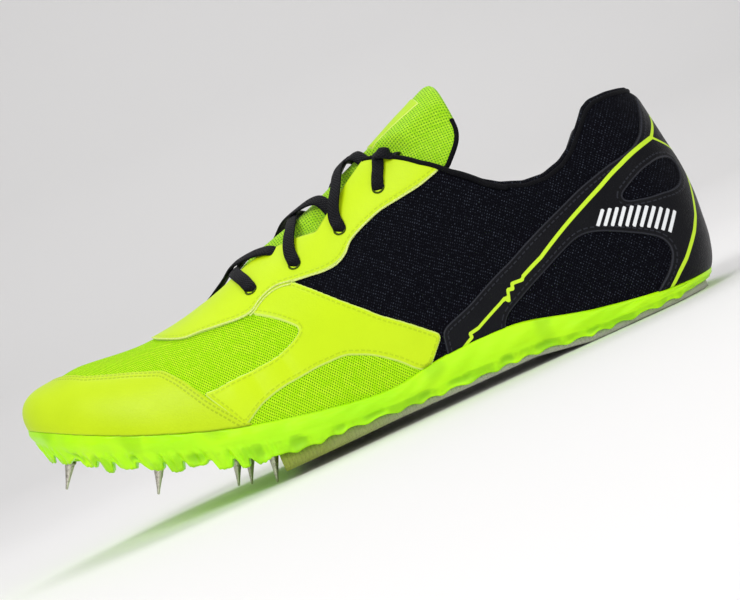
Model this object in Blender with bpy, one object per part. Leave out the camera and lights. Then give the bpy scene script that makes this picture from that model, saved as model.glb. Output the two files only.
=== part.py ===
"""Track spike shoe for the left foot, standing on its two rear pins and its heel.

Metres, +Z up. The toe points to -X and the outer (lateral) side faces -Y. The upper, its overlays,
the tongue and the sole's cup are all laid on one last form. A point on the form is named by its
share of the length, from 0 at the toe tip to 1 at the back of the heel, and by how far across it
lies, from 0 on the crest to 1 on the feather line where the sole begins.
"""

import functools
import math
from collections import namedtuple

import bmesh
import bpy
import numpy as np
from mathutils import Matrix, Vector

# Driving dimensions
LENGTH = 0.285
BALL_WIDTH = 0.087
FORM_HEIGHT = 0.092
TOE_SPRING = 0.048
HEEL_STACK = 0.005
WALL = 0.0018
COLLAR_PAD = 0.0040
OVERLAY = 0.0008
GAP = 0.0003
SKIN_GAP = 0.0008
TUCK = 0.0022
TUCK_HEIGHT = 0.0100
TIP_HEIGHT = 0.0080
TONGUE_THICKNESS = 0.0030
TONGUE_RISE = 0.0034
INSOLE_THICKNESS = 0.0025
LACE_RADIUS = 0.0017
CUP_WALL = 0.0016
CUP_HEIGHT = 0.0060
PLATE_THICKNESS = 0.0040
TOOTH_DEPTH = 0.0048
TOOTH_PITCH = 0.0092
BELLY = 0.0022
OUTSOLE_THICKNESS = 0.0028
OUTSOLE_INSET = 0.0020
PIN_LENGTH = 0.0120
PIN_RADIUS = 0.0025
PIN_TIP_RADIUS = 0.0004
STUB_RADIUS = 0.0017
STUB_LENGTH = 0.0028
BOSS_RADIUS = 0.0046

FORM_LENGTH = LENGTH - 2 * (WALL + SKIN_GAP + OVERLAY)

# Roundings of the form's ends, as shares of its length
TOE_CREST_ROUND = 0.10
TOE_PLAN_ROUND = 0.19
HEEL_PLAN_ROUND = 0.108

LATERAL = -1
MEDIAL = 1
BOTH_SIDES = (LATERAL, MEDIAL)

# Sections of the last: spring is a share of TOE_SPRING, ridge of FORM_HEIGHT, the others of BALL_WIDTH
Section = namedtuple("Section", "share spring ridge half_width centre crest fullness")
LAST = (
    Section(0.00, 1.000, 0.266, 0.430, 0.103, 0.103, 2.40),
    Section(0.05, 0.852, 0.283, 0.437, 0.098, 0.101, 2.35),
    Section(0.10, 0.713, 0.344, 0.448, 0.080, 0.092, 2.25),
    Section(0.20, 0.483, 0.439, 0.477, 0.040, 0.080, 2.15),
    Section(0.30, 0.298, 0.580, 0.500, 0.000, 0.058, 2.00),
    Section(0.40, 0.185, 0.750, 0.466, -0.034, 0.046, 1.90),
    Section(0.50, 0.125, 0.867, 0.402, -0.052, 0.023, 1.95),
    Section(0.60, 0.115, 0.995, 0.362, -0.046, 0.000, 2.05),
    Section(0.70, 0.098, 1.127, 0.345, -0.029, -0.011, 2.30),
    Section(0.80, 0.023, 1.217, 0.345, -0.012, -0.011, 2.60),
    Section(0.90, 0.000, 1.228, 0.339, 0.000, 0.000, 2.80),
    Section(1.00, 0.000, 1.207, 0.339, 0.000, 0.000, 2.80),
)

# The back of the heel leans with height: height is a share of FORM_HEIGHT, lean of LENGTH
Lean = namedtuple("Lean", "height lean")
HEEL_BACK = (
    Lean(0.05, -0.0280),
    Lean(0.10, -0.0165),
    Lean(0.18, -0.0075),
    Lean(0.30, -0.0025),
    Lean(0.42, 0.0000),
    Lean(0.53, -0.0018),
    Lean(0.66, -0.0105),
    Lean(0.78, -0.0180),
    Lean(0.92, -0.0245),
    Lean(1.20, -0.0400),
)
LEAN_START = 0.60

# Top edge of the upper: it leaves the crest at the throat and follows the collar to the heel
Rim = namedtuple("Rim", "share across")
RIM = (
    Rim(0.000, 0.000),
    Rim(0.290, 0.000),
    Rim(0.310, 0.070),
    Rim(0.340, 0.110),
    Rim(0.380, 0.130),
    Rim(0.413, 0.150),
    Rim(0.441, 0.207),
    Rim(0.467, 0.247),
    Rim(0.495, 0.303),
    Rim(0.535, 0.238),
    Rim(0.565, 0.195),
    Rim(0.598, 0.162),
    Rim(0.613, 0.228),
    Rim(0.638, 0.330),
    Rim(0.665, 0.434),
    Rim(0.700, 0.537),
    Rim(0.715, 0.569),
    Rim(0.735, 0.614),
    Rim(0.755, 0.642),
    Rim(0.785, 0.664),
    Rim(0.815, 0.670),
    Rim(0.845, 0.659),
    Rim(0.865, 0.642),
    Rim(0.885, 0.616),
    Rim(0.901, 0.592),
    Rim(0.915, 0.570),
    Rim(0.930, 0.558),
    Rim(0.960, 0.553),
    Rim(1.000, 0.553),
)
MEDIAL_DIP = 0.030
THROAT_FRONT = 0.290
THROAT_CORNER = 0.598

# The sole along its length: cup is a share of CUP_HEIGHT, plate of PLATE_THICKNESS
SoleRow = namedtuple("SoleRow", "share cup plate teeth belly")
SOLE = (
    SoleRow(0.00, 0.92, 0.95, 1.00, 0.00),
    SoleRow(0.10, 1.05, 1.00, 1.00, 0.80),
    SoleRow(0.20, 1.00, 1.10, 1.00, 1.00),
    SoleRow(0.27, 1.00, 1.30, 1.00, 0.80),
    SoleRow(0.305, 1.00, 1.60, 0.80, 0.20),
    SoleRow(0.32, 1.00, 1.70, 0.10, 0.00),
    SoleRow(0.34, 0.98, 1.58, 0.00, 0.00),
    SoleRow(0.36, 0.95, 1.45, 0.00, 0.00),
    SoleRow(0.42, 0.85, 0.85, 0.00, 0.00),
    SoleRow(0.50, 0.78, 0.75, 0.00, 0.00),
    SoleRow(0.57, 1.22, 0.90, 0.00, 0.00),
    SoleRow(0.69, 1.35, 0.90, 0.00, 0.00),
    SoleRow(0.76, 1.02, 0.75, 0.00, 0.00),
    SoleRow(0.82, 0.75, 0.55, 0.00, 0.00),
    SoleRow(0.90, 0.40, 0.45, 0.00, 0.00),
    SoleRow(1.00, 0.30, 0.42, 0.00, 0.00),
)

# The sheet under the rear of the sole: low is its underside as a share of HEEL_STACK
OutsoleRow = namedtuple("OutsoleRow", "share low")
OUTSOLE = (
    OutsoleRow(0.325, 0.68),
    OutsoleRow(0.500, 0.80),
    OutsoleRow(0.620, 0.72),
    OutsoleRow(0.700, 0.72),
    OutsoleRow(0.750, 0.30),
    OutsoleRow(0.785, 0.00),
    OutsoleRow(1.000, 0.00),
)

# Edges of the overlays: low and high are how far across the form they lie
Band = namedtuple("Band", "share low high")
TOE_CAP = (
    Band(0.000, 1.000, 0.000),
    Band(0.052, 1.000, 0.000),
    Band(0.060, 1.000, 0.110),
    Band(0.085, 1.000, 0.290),
    Band(0.112, 1.000, 0.382),
    Band(0.147, 1.000, 0.429),
    Band(0.181, 1.000, 0.462),
    Band(0.221, 1.000, 0.516),
    Band(0.243, 1.000, 0.614),
    Band(0.270, 1.000, 0.764),
    Band(0.289, 1.000, 0.840),
    Band(0.307, 1.000, 0.905),
)
EYESTAY = (
    Band(0.212, 0.020, 0.000),
    Band(0.219, 0.170, 0.000),
    Band(0.260, 0.335, 0.000),
    Band(0.290, 0.365, 0.000),
    Band(0.320, 0.405, 0.095),
    Band(0.348, 0.443, 0.130),
    Band(0.366, 0.459, 0.140),
    Band(0.393, 0.551, 0.155),
    Band(0.415, 0.632, 0.165),
    Band(0.418, 0.420, 0.170),
    Band(0.433, 0.438, 0.205),
    Band(0.460, 0.471, 0.250),
    Band(0.495, 0.502, 0.315),
    Band(0.517, 0.494, 0.280),
    Band(0.530, 0.465, 0.258),
    Band(0.550, 0.455, 0.230),
    Band(0.580, 0.455, 0.192),
    Band(0.598, 0.465, 0.180),
    Band(0.618, 0.478, 0.262),
    Band(0.650, 0.502, 0.390),
    Band(0.673, 0.505, 0.475),
)
WING = (
    Band(0.276, 0.775, 0.740),
    Band(0.289, 0.822, 0.716),
    Band(0.309, 0.890, 0.708),
    Band(0.331, 0.856, 0.702),
    Band(0.364, 0.824, 0.702),
    Band(0.385, 0.816, 0.690),
    Band(0.403, 0.812, 0.673),
    Band(0.418, 0.807, 0.646),
    Band(0.424, 0.807, 0.448),
    Band(0.433, 0.807, 0.455),
    Band(0.453, 0.808, 0.524),
    Band(0.473, 0.824, 0.598),
    Band(0.489, 0.843, 0.648),
    Band(0.506, 0.871, 0.695),
    Band(0.525, 0.907, 0.749),
    Band(0.538, 0.930, 0.778),
    Band(0.567, 0.908, 0.839),
    Band(0.590, 0.890, 0.886),
)
HEEL_CAGE = (
    Band(0.594, 0.900, 0.884),
    Band(0.607, 1.000, 0.869),
    Band(0.642, 1.000, 0.854),
    Band(0.677, 1.000, 0.829),
    Band(0.681, 0.924, 0.827),
    Band(0.708, 0.899, 0.810),
    Band(0.755, 0.859, 0.778),
    Band(0.784, 0.836, 0.759),
    Band(0.811, 0.818, 0.743),
    Band(0.826, 0.817, 0.735),
    Band(0.872, 0.841, 0.712),
    Band(0.909, 0.872, 0.703),
    Band(0.929, 0.900, 0.696),
    Band(0.934, 0.962, 0.694),
    Band(0.975, 0.958, 0.651),
    Band(1.000, 0.956, 0.620),
)

# The tongue: half is how far across it reaches to each side
TongueRow = namedtuple("TongueRow", "share half")
TONGUE = (
    TongueRow(0.276, 0.200),
    TongueRow(0.340, 0.230),
    TongueRow(0.420, 0.310),
    TongueRow(0.500, 0.400),
    TongueRow(0.600, 0.440),
    TongueRow(0.750, 0.520),
)
TongueEnd = namedtuple("TongueEnd", "part share")
TONGUE_END = (
    TongueEnd(0.00, 0.733),
    TongueEnd(0.35, 0.743),
    TongueEnd(0.70, 0.747),
    TongueEnd(1.00, 0.700),
)

# Eyelets from the toe end up, on the lateral and on the medial side
Eyelet = namedtuple("Eyelet", "share across")
LATERAL_EYELETS = (
    Eyelet(0.377, -0.320),
    Eyelet(0.446, -0.374),
    Eyelet(0.524, -0.385),
    Eyelet(0.596, -0.372),
)
MEDIAL_EYELETS = (
    Eyelet(0.300, 0.260),
    Eyelet(0.405, 0.360),
    Eyelet(0.522, 0.385),
    Eyelet(0.605, 0.372),
)

# Pins: share places the seat, beside is a share of BALL_WIDTH, tilt leans the tip to the toe in
# degrees, and drop is the seat's depth under the plate as a share of PIN_LENGTH; a standing pin
# has its tip on the floor
Pin = namedtuple("Pin", "name share beside tilt drop standing")
PINS = (
    Pin("pin_toe", 0.037, -0.057, 31.7, 0.26, False),
    Pin("pin_lateral_mid", 0.162, -0.290, 24.9, 0.18, False),
    Pin("pin_medial_mid", 0.145, 0.310, 25.0, 0.10, False),
    Pin("pin_centre", 0.254, 0.000, 19.5, 0.29, False),
    Pin("pin_lateral_rear", 0.313, -0.290, 14.9, 0.00, True),
    Pin("pin_medial_rear", 0.264, 0.230, 19.0, 0.00, True),
)


@functools.cache
def curve(table, name):
    """The shares, values and tangents of one column of a table."""
    places = np.array([row[0] for row in table])
    values = np.array([getattr(row, name) for row in table])
    steps = np.diff(places)
    slopes = np.diff(values) / steps
    tangents = np.empty(len(places))
    tangents[0] = slopes[0]
    tangents[-1] = slopes[-1]
    tangents[1:-1] = (slopes[:-1] * steps[1:] + slopes[1:] * steps[:-1]) / (steps[1:] + steps[:-1])
    return places, values, tangents


def smooth(table, name, place):
    """A column's value at a place, on a smooth curve through its rows."""
    places, values, tangents = curve(table, name)
    place = min(max(place, places[0]), places[-1])
    i = min(max(int(np.searchsorted(places, place)) - 1, 0), len(places) - 2)
    step = places[i + 1] - places[i]
    t = (place - places[i]) / step
    return float(
        values[i] * (1 + 2 * t) * (1 - t) ** 2
        + tangents[i] * step * t * (1 - t) ** 2
        + values[i + 1] * t * t * (3 - 2 * t)
        + tangents[i + 1] * step * t * t * (t - 1)
    )


def straight(table, name, place):
    """A column's value at a place, on straight lines between its rows."""
    places, values, _ = curve(table, name)
    return float(np.interp(place, places, values))


def ease(value):
    """A soft step from 0 to 1 while the value goes from 0 to 1."""
    value = min(max(value, 0.0), 1.0)
    return value * value * (3 - 2 * value)


def rounded(share, radius):
    """The height of a quarter circle: 0 at its start, 1 from one radius on."""
    t = min(max(share / radius, 0.0), 1.0)
    return math.sqrt(max(0.0, 1 - (1 - t) ** 2))


def bed(share):
    """Height of the last's underside above the floor."""
    return HEEL_STACK + TOE_SPRING * smooth(LAST, "spring", share)


def crest_rise(share):
    """Height of the last's crest above its underside."""
    full = FORM_HEIGHT * smooth(LAST, "ridge", share)
    return TIP_HEIGHT + (full - TIP_HEIGHT) * rounded(share, TOE_CREST_ROUND)


def form_point(share, across):
    """A point on the last; across runs from -1, lateral, over 0 to 1, medial."""
    side = LATERAL if across < 0 else MEDIAL
    turn = abs(across) * math.pi / 2
    power = smooth(LAST, "fullness", share)
    out, up = math.sin(turn), math.cos(turn)
    norm = (out**power + up**power) ** (1 / power)
    rise = crest_rise(share) * up / norm
    plan = rounded(share, TOE_PLAN_ROUND) * rounded(1 - share, HEEL_PLAN_ROUND)
    half = BALL_WIDTH * smooth(LAST, "half_width", share) * plan
    centre = BALL_WIDTH * smooth(LAST, "centre", share)
    crest = BALL_WIDTH * smooth(LAST, "crest", share)
    if share < TOE_PLAN_ROUND or share > 1 - HEEL_PLAN_ROUND:
        crest = centre + (crest - centre) * plan
    pull = TUCK * max(0.0, 1 - rise / TUCK_HEIGHT) ** 2
    edge = centre + side * (half - pull * plan)
    y = crest + (edge - crest) * out / norm
    z = bed(share) + rise
    x = (share - 0.5) * FORM_LENGTH
    x += pull * max(0.0, 1 - share / TOE_CREST_ROUND) ** 2
    if share > LEAN_START:
        reach = ((share - LEAN_START) / (1 - LEAN_START)) ** 2
        x += LENGTH * reach * smooth(HEEL_BACK, "lean", z / FORM_HEIGHT)
    return np.array([x, y, z])


def along_of(share):
    """The even measure along the form that is fine at both ends."""
    return math.acos(min(max(1 - 2 * share, -1.0), 1.0)) / math.pi


def share_of(along):
    """The share of the length at an even measure along the form."""
    return (1 - math.cos(math.pi * min(max(along, 0.0), 1.0))) / 2


def slope_normal(share, across):
    """The outward direction of the last from the slopes along and across it."""
    along = min(max(along_of(share), 0.006), 0.994)
    low, high = max(across - 0.01, -1.0), min(across + 0.01, 1.0)
    here = share_of(along)
    by_along = form_point(share_of(along + 0.002), across) - form_point(share_of(along - 0.002), across)
    by_across = form_point(here, high) - form_point(here, low)
    normal = np.cross(by_along, by_across)
    return normal / np.linalg.norm(normal)


def form_normal(share, across):
    """The outward direction of the last; the two sides share it at the toe tip and the heel."""
    normal = slope_normal(share, across)
    if share < 1e-9 or share > 1 - 1e-9:
        normal = normal + slope_normal(share, -across)
        normal[1] = 0.0
    if abs(across) > 0.999:
        normal[2] = 0.0
    return normal / np.linalg.norm(normal)


@functools.cache
def skin(share, across, offset):
    """A point at a distance outside the last, or inside it where the offset is negative."""
    point = form_point(share, across) + form_normal(share, across) * offset
    return tuple(float(value) for value in point)


def across_at(share, rise):
    """How far across the section lies at a height above the last's underside."""
    q = min(max(rise / crest_rise(share), 0.0), 1.0)
    power = smooth(LAST, "fullness", share)
    out = (1 - q**power) ** (1 / power)
    return math.atan2(out, q) * 2 / math.pi


def cup_height(share):
    """Height of the sole's cup above the last's underside."""
    return CUP_HEIGHT * smooth(SOLE, "cup", share)


def rim_across(share, side):
    """Where the upper's top edge lies across the form; the collar is lower on the medial side."""
    dip = MEDIAL_DIP * ease((share - 0.76) / 0.08) * ease((1 - share) / 0.06)
    return straight(RIM, "across", share) + (dip if side == MEDIAL else 0.0)


def stations(first, last, count, keys=()):
    """Shares between two places, finer towards the ends of the shoe, that include the key ones."""
    start, end = along_of(first), along_of(last)
    even = [share_of(start + (end - start) * i / count) for i in range(count + 1)]
    even[0], even[-1] = first, last
    for key in keys:
        if first < key < last:
            nearest = min(range(1, count), key=lambda i: abs(even[i] - key))
            even[nearest] = key
    return even


def finish_mesh(name, bm):
    """Makes an object of a closed mesh."""
    bmesh.ops.remove_doubles(bm, verts=bm.verts, dist=2e-7)
    bmesh.ops.dissolve_degenerate(bm, edges=bm.edges, dist=1e-8)
    bmesh.ops.recalc_face_normals(bm, faces=bm.faces)
    if bm.calc_volume(signed=True) < 0:
        bmesh.ops.reverse_faces(bm, faces=bm.faces)
    bmesh.ops.triangulate(bm, faces=bm.faces, quad_method="SHORT_EDGE")
    mesh = bpy.data.meshes.new(name)
    bm.to_mesh(mesh)
    bm.free()
    made = bpy.data.objects.new(name, mesh)
    COLLECTION.objects.link(made)
    return made


def add_faces(bm, corners):
    """Adds a face between points, leaving out repeated ones."""
    kept = []
    for corner in corners:
        if all((corner.co - other.co).length > 2e-7 for other in kept):
            kept.append(corner)
    if len(kept) > 2 and bm.faces.get(kept) is None:
        bm.faces.new(kept)


def shell(name, shares, rows, low, high, inner, outer, sides=BOTH_SIDES, crown=0.0):
    """A sheet with thickness on the form, between a low and a high edge on one side or on both.

    Low and high give the edges across the form, inner and outer the offsets of the two faces. The
    sheets of the two sides meet where they reach the crest, the toe tip or the back of the heel.
    """
    bm = bmesh.new()
    for side in sides:
        faces = []
        for offset in (outer, inner):
            grid = []
            for share in shares:
                bottom, top = low(share), high(share, side)
                column = []
                for i in range(rows + 1):
                    across = bottom + (top - bottom) * i / rows
                    at = skin(share, side * across, offset(share, i / rows))
                    column.append(bm.verts.new(at))
                grid.append(column)
            faces.append(grid)
        out, into = faces
        last = len(shares) - 1
        crowns = []
        for j, share in enumerate(shares):
            middle = (out[j][rows].co + into[j][rows].co) / 2
            rise = out[j][rows].co - out[j][rows - 1].co
            thick = (out[j][rows].co - into[j][rows].co).length
            if crown and high(share, side) > 1e-6 and rise.length > 1e-6:
                middle = middle + rise.normalized() * thick * crown
            crowns.append(bm.verts.new(middle))
        for j in range(last):
            for i in range(rows):
                add_faces(bm, (out[j][i], out[j + 1][i], out[j + 1][i + 1], out[j][i + 1]))
                add_faces(bm, (into[j][i], into[j][i + 1], into[j + 1][i + 1], into[j + 1][i]))
            add_faces(bm, (out[j][0], into[j][0], into[j + 1][0], out[j + 1][0]))
            joined = len(sides) == 2 and max(high(at, side) for at in shares[j : j + 2]) < 1e-6
            if not joined and crown:
                add_faces(bm, (out[j][rows], out[j + 1][rows], crowns[j + 1], crowns[j]))
                add_faces(bm, (crowns[j], crowns[j + 1], into[j + 1][rows], into[j][rows]))
            elif not joined:
                add_faces(bm, (out[j][rows], out[j + 1][rows], into[j + 1][rows], into[j][rows]))
        for j in (0, last):
            folded = len(sides) == 2 and (shares[j] < 1e-9 or shares[j] > 1 - 1e-9)
            if not folded:
                for i in range(rows):
                    add_faces(bm, (out[j][i], out[j][i + 1], into[j][i + 1], into[j][i]))
                if crown:
                    add_faces(bm, (out[j][rows], crowns[j], into[j][rows]))
    loose = [vert for vert in bm.verts if not vert.link_faces]
    bmesh.ops.delete(bm, geom=loose, context="VERTS")
    return finish_mesh(name, bm)


def loft(name, loops, capped=False):
    """A solid through closed loops of points; loops at the ends are capped or already folded."""
    bm = bmesh.new()
    rings = [[bm.verts.new(point) for point in loop] for loop in loops]
    count = len(rings[0])
    for ring, following in zip(rings, rings[1:]):
        for i in range(count):
            k = (i + 1) % count
            add_faces(bm, (ring[i], ring[k], following[k], following[i]))
    ends = {True: (rings[0], rings[-1]), "first": (rings[0],), "grid": (rings[0], rings[-1])}
    for ring in ends.get(capped, ()):
        if capped == "grid":
            for i in range(count // 2 - 1):
                add_faces(bm, (ring[i], ring[i + 1], ring[count - 2 - i], ring[count - 1 - i]))
        else:
            bm.faces.new(ring)
    return finish_mesh(name, bm)


def between(start, end, share):
    """The point at a share of the way between two points."""
    return tuple(a + (b - a) * share for a, b in zip(start, end))


def at_height(point, z):
    """The same place in plan, at another height."""
    return (point[0], point[1], z)


def make_upper():
    """The hollow upper, with a padded collar, open at the throat, the collar and underneath."""
    shares = stations(0.0, 1.0, 50, (THROAT_FRONT, THROAT_CORNER))

    def pad(share, part):
        padded = COLLAR_PAD * ease((share - 0.66) / 0.10) * ease((part - 0.45) / 0.35)
        return -padded

    return shell(
        "upper",
        shares,
        8,
        lambda share: 1.0,
        rim_across,
        pad,
        lambda share, part: WALL,
        crown=0.42,
    )


def sole_underside(share):
    """Height of the moulding's plate underneath."""
    return bed(share) - GAP - PLATE_THICKNESS * smooth(SOLE, "plate", share)


def tooth(share, side):
    """Depth of the teeth along the plate's edge at a share of the length."""
    amount = smooth(SOLE, "teeth", share) * ease(share / 0.012)
    if amount <= 0.01:
        return 0.0
    travel = share * FORM_LENGTH / TOOTH_PITCH + (0.35 if side == MEDIAL else 0.0)
    phase = travel % 1.0
    count = int(travel)
    shape = min(1.0, max(0.0, (0.5 - abs(phase - 0.5)) * 3.4 - 0.25))
    varied = 0.78 + 0.22 * math.cos(count * 2.3)
    return TOOTH_DEPTH * amount * shape * varied


def sole_loop(share):
    """The section of the moulding: bed, cup walls, sides and underside."""
    top = across_at(share, cup_height(share))
    under = sole_underside(share)
    floor = bed(share) - GAP
    wall_in = WALL + GAP
    halves = []
    for side in BOTH_SIDES:
        foot = skin(share, side * 1.0, wall_in)
        edge = skin(share, side * 1.0, wall_in + CUP_WALL)
        halves.append(
            (
                at_height(foot, floor),
                skin(share, side * top, wall_in),
                skin(share, side * top, wall_in + CUP_WALL * 0.65),
                at_height(edge, floor),
                at_height(skin(share, side * 1.0, wall_in + CUP_WALL * 0.35), under - tooth(share, side)),
            )
        )
    left, right = halves
    belly = BELLY * smooth(SOLE, "belly", share)
    reach = 0.085
    deep = [under - 0.75 * tooth(share, side) for side in BOTH_SIDES]
    underside = (
        at_height(between(left[4], right[4], reach), deep[0]),
        at_height(between(left[4], right[4], 1.8 * reach), under),
        at_height(between(left[4], right[4], 0.5), under - belly),
        at_height(between(left[4], right[4], 1 - 1.8 * reach), under),
        at_height(between(left[4], right[4], 1 - reach), deep[1]),
    )
    bed_rows = tuple(between(right[0], left[0], part) for part in (0.3, 0.7))
    return (*left, *underside, *reversed(right), *bed_rows)


def apply_boolean(target, cutter, operation):
    """Joins or cuts a solid exactly and drops the cutter."""
    modifier = target.modifiers.new(operation.lower(), "BOOLEAN")
    modifier.operation = operation
    modifier.solver = "EXACT"
    modifier.object = cutter
    graph = bpy.context.evaluated_depsgraph_get()
    mesh = bpy.data.meshes.new_from_object(target.evaluated_get(graph))
    target.modifiers.clear()
    target.data = mesh
    bpy.data.objects.remove(cutter, do_unlink=True)


def turned(name, profile, count, place):
    """A solid turned from rows of distance and radius along its own axis."""
    loops = []
    for distance, radius in profile:
        loop = []
        for i in range(count):
            angle = 2 * math.pi * i / count
            local = Vector((radius * math.cos(angle), radius * math.sin(angle), distance))
            loop.append(tuple(place @ local))
        loops.append(loop)
    return loft(name, loops, capped=True)


def pin_place(pin):
    """The frame of a pin: the origin on its seat and +Z towards its tip."""
    tilt = math.radians(pin.tilt)
    x = (pin.share - 0.5) * FORM_LENGTH
    if pin.standing:
        z = PIN_LENGTH * math.cos(tilt) + PIN_TIP_RADIUS * math.sin(tilt)
    else:
        z = sole_underside(pin.share) - PIN_LENGTH * pin.drop
    at = Matrix.Translation((x, pin.beside * BALL_WIDTH, z))
    return at @ Matrix.Rotation(math.pi + tilt, 4, "Y")


def make_pins():
    """The pins, each with a threaded stub, a flange and a cone."""
    profile = (
        (-STUB_LENGTH, STUB_RADIUS * 0.85),
        (-STUB_LENGTH * 0.8, STUB_RADIUS),
        (GAP, STUB_RADIUS),
        (GAP, PIN_RADIUS),
        (PIN_LENGTH * 0.13, PIN_RADIUS),
        (PIN_LENGTH * 0.17, PIN_RADIUS * 0.80),
        (PIN_LENGTH, PIN_TIP_RADIUS),
    )
    for pin in PINS:
        turned(pin.name, profile, 8, pin_place(pin))


def make_sole():
    """The full-length moulding that cups the upper, with a bored boss for each pin."""
    front = stations(0.0, 0.40, 44)
    rear = stations(0.40, 1.0, 22)
    sole = loft("sole", [sole_loop(share) for share in front + rear[1:]])
    depth = STUB_LENGTH + GAP
    for pin in PINS:
        place = pin_place(pin)
        buried = sole_underside(pin.share) - place.translation.z + PLATE_THICKNESS / 2
        rows = ((-max(depth + GAP, buried), BOSS_RADIUS * 1.15), (0.0, BOSS_RADIUS))
        apply_boolean(sole, turned("boss", rows, 12, place), "UNION")
        rows = (
            (-depth, STUB_RADIUS + GAP),
            (-0.5 * GAP, STUB_RADIUS + GAP),
            (-0.5 * GAP, PIN_RADIUS + 2 * GAP),
            (PIN_LENGTH * 0.5, PIN_RADIUS + 2 * GAP),
        )
        apply_boolean(sole, turned("well", rows, 10, place), "DIFFERENCE")
    return sole


def outsole_loop(share):
    """The section of the sheet under the rear of the sole."""
    offset = WALL + GAP + CUP_WALL * 0.35 - OUTSOLE_INSET
    left, right = (skin(share, side * 1.0, offset) for side in BOTH_SIDES)
    top = sole_underside(share) - GAP
    low = HEEL_STACK * straight(OUTSOLE, "low", share)
    chamfer = 0.35 * min(top - low, OUTSOLE_THICKNESS)
    return (
        at_height(left, top),
        at_height(left, low + chamfer),
        at_height(between(left, right, 0.06), low),
        at_height(between(left, right, 0.94), low),
        at_height(right, low + chamfer),
        at_height(right, top),
        at_height(between(left, right, 0.5), top),
    )


def make_outsole():
    """The thin sheet under the midfoot and the heel."""
    shares = stations(OUTSOLE[0].share, 1.0, 34)
    loops = [outsole_loop(share) for share in shares]
    return loft("outsole", loops, capped="first")


def make_insole():
    """The insole on the sole's bed, inside the upper."""
    loops = []
    for share in stations(0.0, 1.0, 36):
        left, right = (skin(share, side * 1.0, -GAP - GAP) for side in BOTH_SIDES)
        low = bed(share)
        top = low + INSOLE_THICKNESS
        loops.append(
            (
                at_height(left, low),
                at_height(left, top),
                at_height(between(left, right, 0.5), top - GAP),
                at_height(right, top),
                at_height(right, low),
                at_height(between(left, right, 0.5), low),
            )
        )
    return loft("insole", loops)


def cup_line(share):
    """How far across the overlays end, just above the sole's cup."""
    return across_at(share, cup_height(share) + 2 * GAP)


def make_overlay(name, table, rows, count, sides=BOTH_SIDES):
    """A patch of thin sheet that follows the upper between the two edges of a table."""
    keys = tuple(row.share for row in table)
    shares = stations(keys[0], keys[-1], count, keys)

    def low(share):
        return min(straight(table, "low", share), cup_line(share))

    def high(share, side):
        return min(straight(table, "high", share), low(share))

    inner = WALL + SKIN_GAP
    return shell(
        name,
        shares,
        rows,
        low,
        high,
        lambda share, part: inner,
        lambda share, part: inner + OVERLAY,
        sides,
    )


def make_tongue():
    """The tongue: it lies under the edges of the throat and stands clear of the collar."""
    steps, rows = 18, 12
    start = TONGUE[0].share
    outer, inner = [], []
    for j in range(steps + 1):
        outer_row, inner_row = [], []
        for i in range(rows + 1):
            part = 2 * i / rows - 1
            end = smooth(TONGUE_END, "share", abs(part))
            share = start + (end - start) * j / steps
            half = smooth(TONGUE, "half", share)
            covered = min(rim_across(share, LATERAL) - 0.055, 0.75 * half)
            covered = max(covered, 0.25 * half)
            if abs(part) < 0.5:
                across = 2 * part * covered
            else:
                across = math.copysign(covered + (half - covered) * (2 * abs(part) - 1), part)
            free = ease((covered - abs(across)) / min(0.12, covered))
            lift = -2 * GAP - 0.4 * WALL * ease((share - 0.55) / 0.08)
            lift += TONGUE_RISE * free * ease((share - 0.31) / 0.08)
            thin = 0.75 + 0.25 * ease((1 - abs(part)) / 0.3)
            outer_row.append(skin(share, across, lift))
            inner_row.append(skin(share, across, lift - TONGUE_THICKNESS * thin))
        outer.append(outer_row)
        inner.append(inner_row)
    loops = [row + list(reversed(under)) for row, under in zip(outer, inner)]
    return loft("tongue", loops, capped="grid")


def make_laces():
    """The crossings and bars of the lace over the throat, joined into one solid."""
    height = WALL + SKIN_GAP + OVERLAY + GAP + LACE_RADIUS
    runs = [(LATERAL_EYELETS[0], MEDIAL_EYELETS[0])]
    for i in range(3):
        runs.append((LATERAL_EYELETS[i], MEDIAL_EYELETS[i + 1]))
        runs.append((LATERAL_EYELETS[i + 1], MEDIAL_EYELETS[i]))
    runs.append((LATERAL_EYELETS[3], MEDIAL_EYELETS[3]))
    laces = None
    for start, end in runs:
        points = []
        for k in range(8):
            t = k / 7
            share = start.share + (end.share - start.share) * t
            across = start.across + (end.across - start.across) * t
            over = 0.0010 * math.sin(math.pi * t)
            points.append(Vector(skin(share, across, height + over)))
        loops = []
        for k, point in enumerate(points):
            ahead = points[min(k + 1, 7)] - points[max(k - 1, 0)]
            ahead.normalize()
            t = k / 7
            share = start.share + (end.share - start.share) * t
            across = start.across + (end.across - start.across) * t
            up = Vector(form_normal(share, across))
            wide = ahead.cross(up).normalized()
            up = wide.cross(ahead)
            loop = []
            for i in range(6):
                angle = 2 * math.pi * i / 6
                flat = wide * math.cos(angle) * LACE_RADIUS * 1.25 + up * math.sin(angle) * LACE_RADIUS
                loop.append(tuple(point + flat))
            loops.append(loop)
        run = loft("run", loops, capped=True)
        if laces is None:
            laces = run
            laces.name = "laces"
        else:
            apply_boolean(laces, run, "UNION")
    return laces


def paint(made, colour, metallic, roughness):
    """Gives a part a plain material of its own."""
    material = bpy.data.materials.new(made.name)
    material.use_nodes = True
    shader = material.node_tree.nodes["Principled BSDF"]
    shader.inputs["Base Color"].default_value = (*colour, 1.0)
    shader.inputs["Metallic"].default_value = metallic
    shader.inputs["Roughness"].default_value = roughness
    made.data.materials.clear()
    made.data.materials.append(material)


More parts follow.
